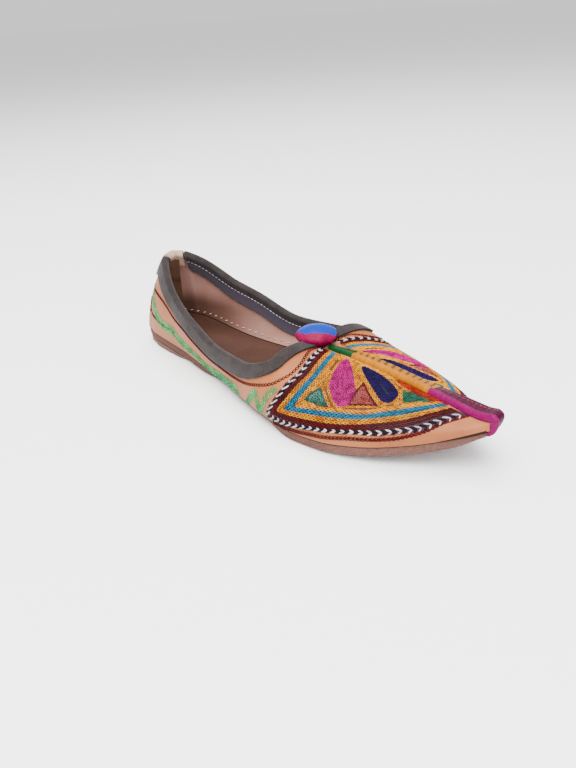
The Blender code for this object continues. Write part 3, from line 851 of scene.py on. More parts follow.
def contour_lines(values: np.ndarray, level: float) -> list[np.ndarray]:
    """Lines of equal value on a grid.

    Args:
        values: the grid's values.
        level: the value to follow.

    Returns:
        Polylines in grid places.
    """
    above = values > level
    links: dict[tuple, list[tuple]] = {}
    places: dict[tuple, tuple[float, float]] = {}

    def crossing(a: tuple[int, int], b: tuple[int, int]) -> tuple:
        """Where the level lies between two grid places, kept under their names."""
        key = (a, b)
        if key not in places:
            share = (level - values[a]) / (values[b] - values[a])
            places[key] = (a[0] + (b[0] - a[0]) * share, a[1] + (b[1] - a[1]) * share)
        return key

    mixed = (above[:-1, :-1] != above[1:, :-1]) | (above[:-1, :-1] != above[:-1, 1:]) | (
        above[:-1, :-1] != above[1:, 1:])
    for i, j in zip(*np.nonzero(mixed)):
        i, j = int(i), int(j)
        sides = (((i, j), (i + 1, j)), ((i + 1, j), (i + 1, j + 1)),
                 ((i, j + 1), (i + 1, j + 1)), ((i, j), (i, j + 1)))
        keys = [crossing(*side) for side in sides if above[side[0]] != above[side[1]]]
        for a, b in zip(keys[::2], keys[1::2]):
            links.setdefault(a, []).append(b)
            links.setdefault(b, []).append(a)
    lines = []
    while links:
        ends = [key for key, near in links.items() if len(near) == 1]
        here = ends[0] if ends else next(iter(links))
        line = [here]
        while links.get(here):
            ahead = links[here].pop()
            links[ahead].remove(here)
            if not links[here]:
                del links[here]
            here = ahead
            line.append(here)
        links.pop(here, None)
        lines.append(np.array([places[key] for key in line]))
    return lines


# Studio

@dataclass
class Studio:
    """The pale floor, the soft lights and the camera."""

    eye: tuple[float, float, float] = (300.27, -250.62, 185.59)
    right: tuple[float, float, float] = (0.65160695, 0.75640265, -0.05712637)
    up: tuple[float, float, float] = (-0.2877181, 0.31613233, 0.90403465)
    lens: float = 37.316

    def build(self) -> None:
        """Adds the floor, lights, world and camera."""
        self.floor()
        self.lights()
        camera = bpy.data.objects.new("camera", bpy.data.cameras.new("camera"))
        bpy.context.scene.collection.objects.link(camera)
        camera.data.lens = self.lens
        camera.data.sensor_width = 36.0
        x = Vector(self.right).normalized()
        y = Vector(self.up)
        y = (y - x * x.dot(y)).normalized()
        z = x.cross(y)
        turn = Matrix((x, y, z)).transposed().to_4x4()
        camera.matrix_world = Matrix.Translation(Vector(self.eye) * MM) @ turn
        bpy.context.scene.camera = camera
        camera.data.clip_start = 0.01

    def floor(self) -> None:
        """A wide pale floor just under the sole."""
        nothing_selected()
        bpy.ops.mesh.primitive_plane_add(size=60.0)
        floor = bpy.context.object
        floor.name = floor.data.name = "floor"
        material = bpy.data.materials.new("pale_floor")
        material.use_nodes = True
        w = Wiring(material.node_tree)
        shader = material.node_tree.nodes["Principled BSDF"]
        place = w.node("TexCoord").outputs["Object"]
        tone = w.noise(place, 3.0)
        w.tree.links.new(w.mix(tone, (0.955, 0.955, 0.96), (0.975, 0.975, 0.975)),
                         shader.inputs["Base Color"])
        shader.inputs["Roughness"].default_value = 0.9
        shader.inputs["Specular IOR Level"].default_value = 0.1
        floor.data.materials.append(material)

    def lights(self) -> None:
        """A big soft key over the toe, a fill from the near side and an even world."""
        for name, place, target, size, power, colour in (
            ("key", (0.30, -0.65, 1.25), (0.0, 0.0, 0.0), 1.1, 46.0, (1.0, 0.985, 0.965)),
            ("fill", (1.05, -0.35, 0.75), (0.0, 0.0, 0.03), 1.0, 16.0, (0.98, 0.99, 1.0)),
            ("top", (-0.25, 0.15, 1.5), (0.0, 0.0, 0.0), 1.2, 34.0, (1.0, 1.0, 1.0)),
        ):
            light = bpy.data.objects.new(name, bpy.data.lights.new(name, "AREA"))
            light.data.shape = "DISK"
            light.data.size = size
            light.data.energy = power
            light.data.color = colour
            light.location = place
            aim = Vector(target) - Vector(place)
            light.rotation_euler = aim.to_track_quat("-Z", "Y").to_euler()
            bpy.context.scene.collection.objects.link(light)
        world = bpy.data.worlds.new("studio")
        world.use_nodes = True
        world.node_tree.nodes["Background"].inputs["Color"].default_value = (1, 1, 1, 1)
        world.node_tree.nodes["Background"].inputs["Strength"].default_value = 1.0
        bpy.context.scene.world = world


# Embroidery pattern, on the near side, in stations and shares

class Leg(Enum):
    """The two runs of the border: behind the motifs, and along the sole to the toe."""

    BACK = 0
    FOOT = 1


@dataclass(frozen=True)
class Motif:
    """A stitched shape of the vamp: its thread, its outermost row's thread and its corners."""

    colour: str
    rim: str
    corners: tuple
    rounded: bool = False


OUTER_MAROON = (
    (8.5, 0.0), (8.79, 0.01), (9.35, 0.025), (9.68, 0.04), (10.31, 0.065), (10.78, 0.09),
    (11.41, 0.105), (11.81, 0.15), (12.24, 0.295), (12.5, 0.57), (12.87, 0.96))

# Four guides from the outermost in, each with its two legs
BORDER = (
    (((8.40, 0.95), (8.56, 0.83), (8.69, 0.72), (8.82, 0.58), (8.77, 0.44), (8.65, 0.265),
      (8.30, 0.05)),
     ((8.30, 0.05), (8.91, 0.07), (9.7, 0.115), (10.34, 0.155), (10.84, 0.185), (11.31, 0.21),
      (11.71, 0.27), (12.11, 0.365), (12.45, 0.655), (12.68, 0.95))),
    (((8.53, 0.95), (8.69, 0.83), (8.82, 0.72), (8.95, 0.58), (8.91, 0.44), (8.82, 0.27),
      (8.57, 0.12)),
     ((8.57, 0.12), (9.0, 0.135), (9.7, 0.165), (10.3, 0.195), (10.84, 0.245), (11.25, 0.30),
      (11.6, 0.38), (11.85, 0.50), (12.12, 0.74), (12.32, 0.95))),
    (((8.72, 0.96), (8.88, 0.86), (9.04, 0.74), (9.16, 0.62), (9.2, 0.50), (9.19, 0.38),
      (9.12, 0.235)),
     ((9.12, 0.235), (9.5, 0.27), (9.9, 0.305), (10.35, 0.345), (10.83, 0.39), (11.15, 0.47),
      (11.41, 0.565), (11.6, 0.66), (11.85, 0.82), (12.07, 0.96))),
    (((8.90, 0.965), (9.05, 0.87), (9.2, 0.76), (9.33, 0.64), (9.4, 0.53), (9.42, 0.43),
      (9.42, 0.33)),
     ((9.42, 0.33), (9.7, 0.35), (10.0, 0.375), (10.35, 0.405), (10.8, 0.455), (11.05, 0.53),
      (11.25, 0.625), (11.45, 0.73), (11.65, 0.85), (11.85, 0.965))),
)

MOTIFS = {
    "leaf_low": Motif("sage", "green", ((9.38, 0.365), (10.09, 0.385), (9.53, 0.545))),
    "petal": Motif("magenta", "magenta", ((9.17, 0.955), (9.58, 0.635), (10.04, 0.475),
                                          (10.32, 0.435), (10.4, 0.54), (10.01, 0.74)), True),
    "heart": Motif("rose", "maroon", ((10.40, 0.465), (10.97, 0.57), (10.19, 0.775))),
    "drop": Motif("navy", "navy", ((9.70, 0.945), (10.64, 0.71), (10.91, 0.645), (11.1, 0.66),
                                   (11.01, 0.825), (10.42, 0.945)), True),
    "leaf_high": Motif("green", "green", ((11.01, 0.895), (11.31, 0.715), (11.74, 0.92))),
    "ember": Motif("orange", "orange", ((10.62, 0.985), (10.8, 0.955), (11.3, 0.925),
                                        (11.8, 0.925), (12.03, 0.95), (12.05, 0.985))),
}

MAROON_LINES = (
    ((1.53, 0.41), (3.06, 0.395), (3.54, 0.375), (4.12, 0.32), (4.69, 0.30), (5.13, 0.255),
     (5.58, 0.21), (6.07, 0.195), (6.65, 0.20), (7.25, 0.22), (7.64, 0.245), (8.07, 0.295),
     (8.38, 0.36), (8.58, 0.46), (8.66, 0.54), (8.63, 0.655), (8.46, 0.775), (8.37, 0.835),
     (8.28, 0.97)),
    ((1.49, 0.295), (1.66, 0.165)),
    ((1.66, 0.185), (2.6, 0.165), (3.56, 0.155)),
)

GREEN_BAND = (
    (1.75, 0.43), (2.05, 0.36), (2.35, 0.28), (2.75, 0.21), (3.24, 0.16), (3.83, 0.17),
    (4.23, 0.12), (4.75, 0.115), (5.16, 0.075), (5.56, 0.045), (6.07, 0.065), (6.59, 0.08),
    (6.98, 0.08))
GREEN_ZIGZAG = ((7.3, 0.0), (7.83, 0.215), (7.93, 0.02), (8.54, 0.345))

# Light and dark tone of each embroidery thread
THREADS = {
    "maroon": ((0.065, 0.0022, 0.0050), (0.025, 0.0006, 0.0015)),
    "yellow": ((0.50, 0.215, 0.0002), (0.26, 0.072, 0.0002)),
    "black": ((0.0035, 0.0022, 0.0040), (0.0015, 0.001, 0.002)),
    "white": ((0.44, 0.37, 0.40), (0.26, 0.19, 0.23)),
    "turquoise": ((0.003, 0.12, 0.20), (0.001, 0.045, 0.09)),
    "green": ((0.010, 0.085, 0.046), (0.002, 0.030, 0.022)),
    "sage": ((0.060, 0.15, 0.13), (0.015, 0.06, 0.05)),
    "mint": ((0.050, 0.33, 0.11), (0.012, 0.15, 0.045)),
    "magenta": ((0.34, 0.0002, 0.13), (0.13, 0.0001, 0.05)),
    "navy": ((0.0065, 0.0002, 0.045), (0.002, 0.0001, 0.016)),
    "rose": ((0.24, 0.055, 0.045), (0.11, 0.015, 0.013)),
    "orange": ((0.23, 0.013, 0.0002), (0.11, 0.004, 0.0002)),
}

# Painted shade between the stitches: each thread's hue, darkened, painted on the leather under it
SHADED_GROUNDS = {
    "maroon": (0.014, 0.0008, 0.001),
    "yellow": (0.07, 0.015, 0.0003),
    "black": (0.022, 0.003, 0.009),
    "turquoise": (0.001, 0.018, 0.030),
    "green": (0.003, 0.015, 0.010),
    "sage": (0.006, 0.022, 0.018),
    "magenta": (0.06, 0.0, 0.02),
    "navy": (0.002, 0.0001, 0.012),
    "rose": (0.05, 0.003, 0.004),
    "orange": (0.06, 0.003, 0.0003),
}

# Border levels between which each ground shows, and those on which each colour has a row
GROUND_BANDS = ((-0.5, 0.5, "black"), (0.5, 1.3, "maroon"), (1.3, 1.75, "yellow"),
                (1.75, 2.35, "turquoise"), (2.35, 3.0, "yellow"))
ROW_LEVELS = (("maroon", (0.78, 1.14)), ("yellow", (1.38, 1.62)),
              ("turquoise", (1.83, 2.02, 2.26)), ("yellow", (2.55, 2.85)))
INNERMOST = 3.0


@dataclass
class Pattern:
    """Where the embroidery's rows and grounds lie."""

    motif_points: int = 120
    field_closing: tuple = ((11.95, 0.985), (8.88, 0.985))
    ridge_share: float = 0.955
    ridge_stations: tuple[float, float, float] = (9.0, 10.7, 12.1)
    top_share: float = 0.99

    def border_row(self, level: float, legs: tuple[Leg, ...] = tuple(Leg),
                   count: int = 90) -> np.ndarray:
        """A row between the border's guides.

        Args:
            level: 0 for the outermost guide, 3 for the innermost.
            legs: which runs of the border it follows.
            count: how many points each leg gets.

        Returns:
            The row's stations and shares.
        """
        low = min(int(level), len(BORDER) - 2)
        share = level - low
        parts = []
        for leg in legs:
            a = curve_through(BORDER[low][leg.value], count)
            b = curve_through(BORDER[low + 1][leg.value], count)
            parts.append(a + (b - a) * share)
        return np.concatenate(parts)

    def motif(self, name: str) -> np.ndarray:
        """A motif's closed outline."""
        motif = MOTIFS[name]
        if motif.rounded:
            return curve_through(motif.corners, self.motif_points, closed=True)
        closed = np.array(motif.corners + motif.corners[:1], float)
        return evenly(closed, self.motif_points)

    def field_outline(self) -> np.ndarray:
        """Outline of the ground inside the border."""
        return np.concatenate([self.border_row(INNERMOST), self.field_closing])

    def grounds(self) -> list[tuple[np.ndarray, str]]:
        """Outlines of the coloured grounds under the stitches, each over the ones before."""
        result = [(np.concatenate([self.border_row(a), self.border_row(b)[::-1]]), colour)
                  for a, b, colour in GROUND_BANDS]
        result.append((self.field_outline(), "yellow"))
        return result + [(self.motif(name), motif.colour) for name, motif in MOTIFS.items()]

    def on_side(self, line: np.ndarray, side: Side) -> np.ndarray:
        """A line of the near side, on the far side moved off the ridge to leave the flange room.

        Args:
            line: its stations and shares.
            side: the side that it is laid on.

        Returns:
            The stations and shares there.
        """
        if side is Side.NEAR:
            return line
        room = np.interp(line[:, 0], (8.6, 9.6, 11.8, 12.6), (2.2, 7.0, 7.0, 4.0)) * MM
        share = np.minimum(line[:, 1], self.top_share)
        _, up = LAST.slopes(line[:, 0], share)
        off = room * np.clip((line[:, 1] - 0.40) / 0.50, 0.0, 1.0)
        return np.stack(LAST.walk(line[:, 0], share, -up, off), axis=-1)

    def ground_colours(self, stations: np.ndarray, shares: np.ndarray,
                       far: np.ndarray) -> np.ndarray:
        """Ground colour, the painted shade between the stitches, and cover at points of the skin.

        Args:
            stations: where the points lie along the shoe.
            shares: where they lie up the section.
            far: which of them lie on the far side.

        Returns:
            Red, green, blue and cover of each point.
        """
        at = np.stack([stations, shares], axis=-1)
        colours = np.zeros(stations.shape + (4,))
        for outline, colour in self.grounds():
            moved = self.on_side(outline, Side.FAR)
            here = np.where(far, inside(at, moved), inside(at, outline))
            colours[here] = (*SHADED_GROUNDS[colour], 1.0)
        start, change, end = self.ridge_stations
        beside = (shares > self.ridge_share) & (stations > start) & (stations < end)
        colours[beside & (stations < change)] = (*SHADED_GROUNDS["yellow"], 1.0)
        colours[beside & (stations >= change)] = (*SHADED_GROUNDS["orange"], 1.0)
        return colours


# Shoe

@dataclass
class Upper:
    """The leather upper with its lining."""

    pattern: Pattern
    rim_depth: float = 9.5 * MM
    collar_lines: int = 201
    rim_lines: int = 8
    side_lines: int = 41
    vamp_lines: int = 131
    leather: LeatherFinish = LeatherFinish(
        "upper_leather", (0.30, 0.102, 0.037), (0.22, 0.067, 0.022), roughness=0.5, coat=0.03,
        bump=0.25, scale=1100.0, painted=True)
    # The lining carries painted shade low in the heel
    lining: LeatherFinish = LeatherFinish(
        "lining_leather", (0.35, 0.185, 0.15), (0.28, 0.138, 0.105), roughness=0.7, bump=0.2,
        scale=700.0, shaded_heel=True)

    def skin_places(self) -> list[np.ndarray]:
        """Fine mesh lines of the collar part and of the vamp."""
        places = np.linspace(0.0, LAST.collar_end, self.collar_lines)
        depths = self.rim_depth * np.linspace(0.0, 1.0, self.rim_lines)
        under = np.stack([np.stack(LAST.below_collar(places, depth), axis=-1)
                          for depth in depths], axis=1)
        feet = np.stack([LAST.collar(places)[2], np.zeros_like(places)], axis=-1)
        down = np.linspace(0.0, 1.0, self.side_lines)[1:, None]
        side = under[:, -1:, :] + (feet[:, None, :] - under[:, -1:, :]) * down[None]
        collar = np.concatenate([under, side], axis=1)
        first = collar[-1][self.rim_lines - 1:]
        ahead = np.linspace(0.0, 1.0, self.vamp_lines)[:, None]
        share = np.linspace(0.0, 1.0, self.side_lines)[None, :]
        top = first[0][0] + (LAST.end - first[0][0]) * ahead
        foot = first[-1][0] + (LAST.end - first[-1][0]) * ahead
        stations = top + (foot - top) * share
        vamp = np.stack([stations, np.broadcast_to(1.0 - share, stations.shape)], axis=-1)
        vamp[0] = first
        return [collar, vamp]

    def paint(self, upper: bpy.types.Object) -> None:
        """Colours the ground under the embroidery with painted shade in each thread's hue."""
        mesh = upper.data
        station, share = (values_of(mesh.attributes[label].data, "value", 1)[:, 0]
                          for label in ("station", "share"))
        corners = values_of(mesh.vertices, "co", 3)
        colours = self.pattern.ground_colours(station, share, corners[:, 1] > 0.0)
        ground = mesh.color_attributes.new("ground", "FLOAT_COLOR", "POINT")
        ground.data.foreach_set("color", colours.ravel())

    def build(self) -> None:
        """Makes the upper."""
        parts = []
        for number, lines in enumerate(self.skin_places()):
            part = laid_grid(f"skin_{number}", LAST.point(lines[..., 0], lines[..., 1]))
            places = grid_places(part)
            at = lines[places[:, 0], places[:, 1]]
            label_corners(part.data, "station", at[:, 0])
            label_corners(part.data, "share", at[:, 1])
            parts.append(part)
        upper = joined(parts, "upper_skin")
        upper.data.attributes.remove(upper.data.attributes["grid_place"])
        welded(upper, Vector((0.0, 1.0, 0.2)))
        mirrored_over(upper)
        self.paint(upper)
        upper.data.materials.append(self.leather.make())
        upper.data.materials.append(self.lining.make())
        modified(upper, "SOLIDIFY", thickness=LAST.wall, offset=-1.0, material_offset=1,
                 material_offset_rim=1)
        smooth(upper, 50.0)
        dressed(upper, None, "upper")


@dataclass
class FoldedStrip:
    """A strip folded over the collar's edge."""

    name: str
    places: np.ndarray
    thickness: float
    outside: float
    inside: float
    leg_lines: int = 12
    fold_lines: int = 9
    fold_rise: float = 1.1
    band_line: int = 4

    def skin(self) -> np.ndarray:
        """Points of the strip's outer face, line by line."""
        gap = LAST.clearance + self.thickness
        _, _, _, edge, normal, down = LAST.collar(self.places)
        lines = []
        for depth in np.linspace(self.outside, 0.0, self.leg_lines):
            s, v = LAST.below_collar(self.places, depth)
            lines.append(LAST.point(s, v) + LAST.normal(s, v) * gap)
        half = LAST.wall / 2.0 + gap
        rim = edge - normal * LAST.wall / 2.0
        for angle in np.linspace(0.0, math.pi, self.fold_lines + 2)[1:-1]:
            rise = gap * math.sin(angle) * self.fold_rise
            lines.append(rim + normal * half * math.cos(angle) - down * rise)
        for depth in np.linspace(0.0, self.inside, self.leg_lines):
            s, v = LAST.below_collar(self.places, depth)
            lines.append(LAST.point(s, v) - LAST.normal(s, v) * (LAST.wall + gap))
        return np.stack(lines, axis=1)

    def outwards(self, points: np.ndarray) -> Vector:
        """The sum of the face normals when the outside leg looks away from the shoe."""
        faces = np.cross(np.diff(points, axis=0)[:, :-1], np.diff(points, axis=1)[:-1])
        away = LAST.normal(*LAST.below_collar(self.places, self.outside / 2.0))[:-1]
        on_leg = faces[:, self.leg_lines // 3]
        return Vector(faces.sum(axis=(0, 1)) * np.sign((on_leg * away).sum()))

    def build(self) -> bpy.types.Object:
        """Makes the strip on both sides of the shoe."""
        points = self.skin()
        points[..., 1] = np.where(np.abs(points[..., 1]) < WELD, 0.0, points[..., 1])
        strip = laid_grid(self.name, points)
        first = self.leg_lines + self.fold_lines + self.band_line
        column = grid_places(strip)[:, 1]
        label_corners(strip.data, "band", np.clip(column - first + 1.0, 0.0, 1.0))
        welded(strip, self.outwards(points), FINE_WELD)
        mirrored_over(strip, WELD)
        modified(strip, "SOLIDIFY", thickness=self.thickness, offset=-1.0)
        smooth(strip, 60.0)
        return strip


def collar_place(half_width: float) -> float:
    """The place on the collar's edge at a distance off the middle, at the back."""
    places = np.linspace(0.0, 2.0, 801)
    return float(np.interp(half_width, LAST.collar(places)[3][:, 1], places))


@dataclass
class Collar:
    """The suede binding and the folded tab at the back."""

    binding_start: float = 7.5 * MM
    binding_legs: tuple[float, float] = (6.8 * MM, 11.2 * MM)
    tab_end: float = 6.5 * MM
    tab_legs: tuple[float, float] = (12.0 * MM, 8.0 * MM)
    stitch_depth: float = 3.7 * MM
    stitch_pitch: float = 2.6 * MM
    stitch_size: tuple[float, float, float] = (2.0 * MM, 0.5 * MM, 0.35 * MM)
    suede: NapFinish = NapFinish(
        "grey_suede", (0.028, 0.0215, 0.0215), (0.012, 0.0092, 0.0092), roughness=0.95,
        sheen=0.12, bump=0.45, scale=1400.0)
    cream: LeatherFinish = LeatherFinish(
        "cream_leather", (0.44, 0.31, 0.24), (0.30, 0.17, 0.12), roughness=0.55, sheen=0.1,
        coat=0.05, bump=0.25, scale=800.0)
    stitching: ThreadFinish = ThreadFinish(
        "white_stitching", *THREADS["white"], roughness=0.6, sheen=0.2, scale=2500.0)

    def build(self) -> None:
        """Makes both, and the white stitches on the binding."""
        start = collar_place(self.binding_start)
        places = np.concatenate([[start], np.linspace(start, LAST.collar_end, 230)[1:]])
        binding = FoldedStrip("binding", places, 1.0 * MM, *self.binding_legs).build()
        dressed(binding, self.suede.make(), "collar_binding")
        places = np.linspace(0.0, collar_place(self.tab_end), 10)
        tab = FoldedStrip("folded_tab", places, 1.2 * MM, *self.tab_legs).build()
        dressed(tab, self.cream.make(), "back_tab")
        self.stitch_line()

    def stitch_line(self) -> None:
        """White stitches round the inner leg of the binding."""
        places = np.linspace(collar_place(self.binding_start + 1.0 * MM), LAST.collar_end, 600)
        s, v = LAST.below_collar(places, np.full_like(places, self.stitch_depth))
        normals = LAST.normal(s, v)
        points = LAST.point(s, v) - normals * (LAST.wall + 1.32 * MM)
        row = StitchRow(points, -normals, self.stitch_pitch)
        piece = laid_stitches("binding_stitches", row.both(*self.stitch_size))
        dressed(piece, self.stitching.make())


@dataclass
class StitchRow:
    """Even places along a 3-D line."""

    points: np.ndarray
    normals: np.ndarray
    pitch: float
    lean: float = 0.0

    def sampled(self) -> tuple[np.ndarray, np.ndarray, np.ndarray]:
        """Places, tangents and normals at each pitch."""
        lengths = lengths_along(self.points)
        count = max(2, int(round(lengths[-1] / self.pitch)))
        at = (np.arange(count) + 0.5) * lengths[-1] / count
        half = self.pitch * 0.4
        middle = read_at(self.points, lengths, at)
        tangents = unit(read_at(self.points, lengths, at + half)
                        - read_at(self.points, lengths, at - half))
        normals = unit(read_at(self.normals, lengths, at))
        if self.lean:
            tangents = unit(tangents + np.cross(normals, tangents) * self.lean)
        return middle, tangents, normals

    def frames(self, length: float, width: float, height: float) -> np.ndarray:
        """Matrices of its stitches on the +Y side."""
        return frames_along(*self.sampled(), length, width, height)

    def both(self, length: float, width: float, height: float) -> np.ndarray:
        """Matrices of its stitches on both sides of the shoe."""
        frames = self.frames(length, width, height)
        return np.concatenate([side_frames(frames, side) for side in Side])


def side_frames(frames: np.ndarray, side: Side) -> np.ndarray:
    """Frames of the +Y side, on the side that is asked and kept right-handed."""
    if side is Side.FAR:
        return frames
    mirrored = frames * np.array([1.0, side.value, 1.0])[None, :, None]
    mirrored[..., 1] *= -1.0
    return mirrored


def chain_shape() -> bpy.types.Object:
    """A chain-stitch link, one long and wide: a slim ring drawn to a point."""
    nothing_selected()
    bpy.ops.mesh.primitive_torus_add(major_segments=8, minor_segments=4, major_radius=0.37,
                                     minor_radius=0.13)
    link = bpy.context.object
    for vertex in link.data.vertices:
        vertex.co.y *= 1.0 - 0.45 * max(0.0, vertex.co.x) / 0.55
        vertex.co.x *= 1.02
        vertex.co.z *= 2.2
    return link


def grain_shape() -> bpy.types.Object:
    """A short straight stitch: a rounded grain, one long, wide and high."""
    nothing_selected()
    bpy.ops.mesh.primitive_uv_sphere_add(segments=8, ring_count=4, radius=0.5)
    bpy.ops.object.mode_set(mode="EDIT")
    bpy.ops.mesh.select_all(action="SELECT")
    bpy.ops.transform.rotate(value=math.pi / 2, orient_axis="Y",
                             center_override=(0.0, 0.0, 0.0))
    bpy.ops.object.mode_set(mode="OBJECT")
    return bpy.context.object


def laid_stitches(name: str, frames: np.ndarray) -> bpy.types.Object:
    """Straight stitches set down on frames, as one piece."""
    grain = grain_shape()
    piece = Instances(name, grain).build(frames)
    bpy.data.objects.remove(grain)
    return piece


@dataclass
class Embroidery:
    """Every stitch on the leather."""

    pattern: Pattern
    pitch: float = 2.3 * MM
    width: float = 1.45 * MM
    height: float = 0.9 * MM
    lift: float = 0.15 * MM
    overlap: float = 1.12
    chevron_pitch: float = 4.5 * MM
    chevron_reach: float = 2.6 * MM
    chevron_spread: float = 0.42
    field_row: float = 1.2 * MM
    motif_row: float = 1.1 * MM
    contour_width: float = 1.4 * MM
    rows: dict[str, list[np.ndarray]] = field(default_factory=dict)
    strokes: dict[str, list[np.ndarray]] = field(default_factory=dict)

    def row(self, colour: str, line: np.ndarray, pitch: float = 0.0, width: float = 0.0,
            sides: tuple[Side, ...] = tuple(Side)) -> None:
        """Lays chain stitches along a line of the (station, share) plane.

        Args:
            colour: the thread.
            line: stations and shares that it follows.
            pitch: how long a link is, or 0 for the usual length.
            width: how wide a link is, or 0 for the usual width.
            sides: the sides of the shoe that get it.
        """
        if len(line) < 2 or skin_length(line) < 2.0 * MM:
            return
        pitch, width = pitch or self.pitch, width or self.width
        for side in sides:
            path = self.pattern.on_side(line, side)
            dense = evenly(path, max(8, int(skin_length(path) / (0.5 * MM))))
            normals = LAST.normal(dense[:, 0], dense[:, 1])
            points = LAST.point(dense[:, 0], dense[:, 1]) + normals * self.lift
            links = StitchRow(points, normals, pitch)
            frames = links.frames(pitch * self.overlap, width, self.height)
            self.rows.setdefault(colour, []).append(side_frames(frames, side))

    def stroke(self, colour: str, start: np.ndarray, end: np.ndarray, width: float) -> None:
        """Lays single straight stitches.

        Args:
            colour: the thread.
            start: stations and shares that they start from.
            end: stations and shares that they reach.
            width: how wide they are.
        """
        for side in Side:
            first, last = self.pattern.on_side(start, side), self.pattern.on_side(end, side)
            a, b = LAST.point(first[:, 0], first[:, 1]), LAST.point(last[:, 0], last[:, 1])
            middle = (first + last) / 2.0
            normal = LAST.normal(middle[:, 0], middle[:, 1])
            centre = LAST.point(middle[:, 0], middle[:, 1]) + normal * self.lift
            frames = frames_along(centre, b - a, normal, 1.0, width, self.height)
            frames[..., 0] *= np.linalg.norm(b - a, axis=-1)[:, None]
            self.strokes.setdefault(colour, []).append(side_frames(frames, side))

    def border(self) -> None:
        """The rows beside the ridge, round the vamp and along the side."""
        for colour, start, end in (("yellow", 9.05, 10.68), ("orange", 10.72, 12.06)):
            ridge = evenly(np.array([[start, 1.0], [end, 1.0]]), 60)
            self.row(colour, ridge, sides=(Side.NEAR,))
        outer = curve_through(OUTER_MAROON, 200)
        for higher in (0.0, 0.020):
            self.row("maroon", outer + (0.0, higher), pitch=2.0 * MM, width=1.5 * MM)
        for colour, levels in ROW_LEVELS:
            for level in levels:
                self.row(colour, self.pattern.border_row(level))
        for line in MAROON_LINES:
            self.row("maroon", curve_through(line, 200), pitch=2.1 * MM, width=1.8 * MM)

    def chevrons(self) -> None:
        """Black and white chevrons along the border's outer guide."""
        points = 400
        for leg in Leg:
            outer, middle, inner = (self.pattern.border_row(level, (leg,), points) for level in
                                    (-self.chevron_spread, 0.0, self.chevron_spread))
            count = 2 * int(skin_length(middle) / self.chevron_pitch)
            at = np.linspace(4, 382, count).astype(int)
            reach = int(points * self.chevron_reach / skin_length(middle))
            ahead = np.minimum(at + reach, points - 1)
            for number, (colour, width) in enumerate((("black", 1.15 * MM), ("white", 0.85 * MM))):
                chosen = slice(number, None, 2)
                tip = middle[ahead[chosen]]
                for edge in (outer, inner):
                    self.stroke(colour, edge[at[chosen]], tip, width)

    def field(self) -> None:
        """Yellow rows that follow the motifs, and the motifs' own stitches."""
        stations = np.linspace(8.75, 12.1, 190)
        shares = np.linspace(0.30, 0.99, 120)
        grid = np.stack(np.meshgrid(stations, shares, indexing="ij"), axis=-1)
        skin = LAST.point(grid[..., 0], grid[..., 1])
        outlines = {name: self.pattern.motif(name) for name in MOTIFS}
        edges = {name: LAST.point(o[:, 0], o[:, 1]) for name, o in outlines.items()}
        border = self.pattern.border_row(INNERMOST)
        from_border = distance_to(skin, LAST.point(border[:, 0], border[:, 1]))
        from_motifs = distance_to(skin, np.concatenate(list(edges.values())))
        in_field = inside(grid, self.pattern.field_outline())
        in_motif = np.zeros(in_field.shape, bool)
        for outline in outlines.values():
            in_motif |= inside(grid, outline)
        value = np.minimum(from_motifs, from_border + 0.4 * MM)
        outside = np.where(in_motif | ~in_field, -value, value)
        levels = 0.65 * MM + self.field_row * np.arange(10)
        self.contours("yellow", outside, stations, shares, levels)
        for name, motif in MOTIFS.items():
            depth = distance_to(skin, edges[name])
            depth = np.where(inside(grid, outlines[name]), depth, -1.0 * MM)
            levels = 0.5 * MM + self.motif_row * np.arange(8)
            self.contours(motif.rim, depth, stations, shares, levels[:1])
            self.contours(motif.colour, depth, stations, shares, levels[1:])

    def contours(self, colour: str, value: np.ndarray, stations: np.ndarray,
                 shares: np.ndarray, levels: np.ndarray) -> None:
        """Rows of stitches along lines of equal value.

        Args:
            colour: the thread.
            value: a value at each place of the grid.
            stations: the grid's stations.
            shares: its shares.
            levels: the values that get a row.
        """
        for level in levels:
            for line in contour_lines(value, level):
                places = np.stack([np.interp(line[:, k], np.arange(len(ticks)), ticks)
                                   for k, ticks in enumerate((stations, shares))], axis=-1)
                if skin_length(places) > 2.4 * MM:
                    self.row(colour, places, width=self.contour_width)

    def side_work(self) -> None:
        """The looped green band and the zigzag along the side."""
        band = curve_through(GREEN_BAND, 500)
        _, up = LAST.slopes(band[:, 0], band[:, 1])
        loop = 4.6 * MM
        for off in (-1.9 * MM, 1.9 * MM):
            looped = np.stack(LAST.walk(band[:, 0], band[:, 1], up, off), axis=-1)
            self.row("mint", looped, pitch=loop, width=3.6 * MM)
        self.row("mint", band, pitch=loop, width=2.6 * MM)
        self.row("green", band, pitch=loop, width=1.1 * MM)
        for a, b in zip(GREEN_ZIGZAG[:-1], GREEN_ZIGZAG[1:]):
            line = evenly(np.array([a, b], float), 60)
            along, _ = LAST.slopes(line[:, 0], line[:, 1])
            for off in (-1.1 * MM, 1.1 * MM):
                beside = np.stack(LAST.walk(line[:, 0], line[:, 1], along, off), axis=-1)
                self.row("mint", beside, pitch=3.4 * MM, width=2.2 * MM)

    def build(self) -> None:
        """Lays every row and joins the stitches of each colour."""
        self.border()
        self.chevrons()
        self.field()
        self.side_work()
        link, grain = chain_shape(), grain_shape()
        for colour, (light, dark) in THREADS.items():
            parts = [Instances(kind + colour, shape).build(np.concatenate(laid[colour]))
                     for kind, shape, laid in (("links_", link, self.rows),
                                               ("strokes_", grain, self.strokes))
                     if colour in laid]
            piece = joined(parts, "stitches_" + colour)
            finish = ThreadFinish("thread_" + colour, light, dark, roughness=0.42, bump=0.4,
                                  scale=2600.0, gloss=0.08)
            dressed(piece, finish.make())
        for shape in (link, grain):
            bpy.data.objects.remove(shape)


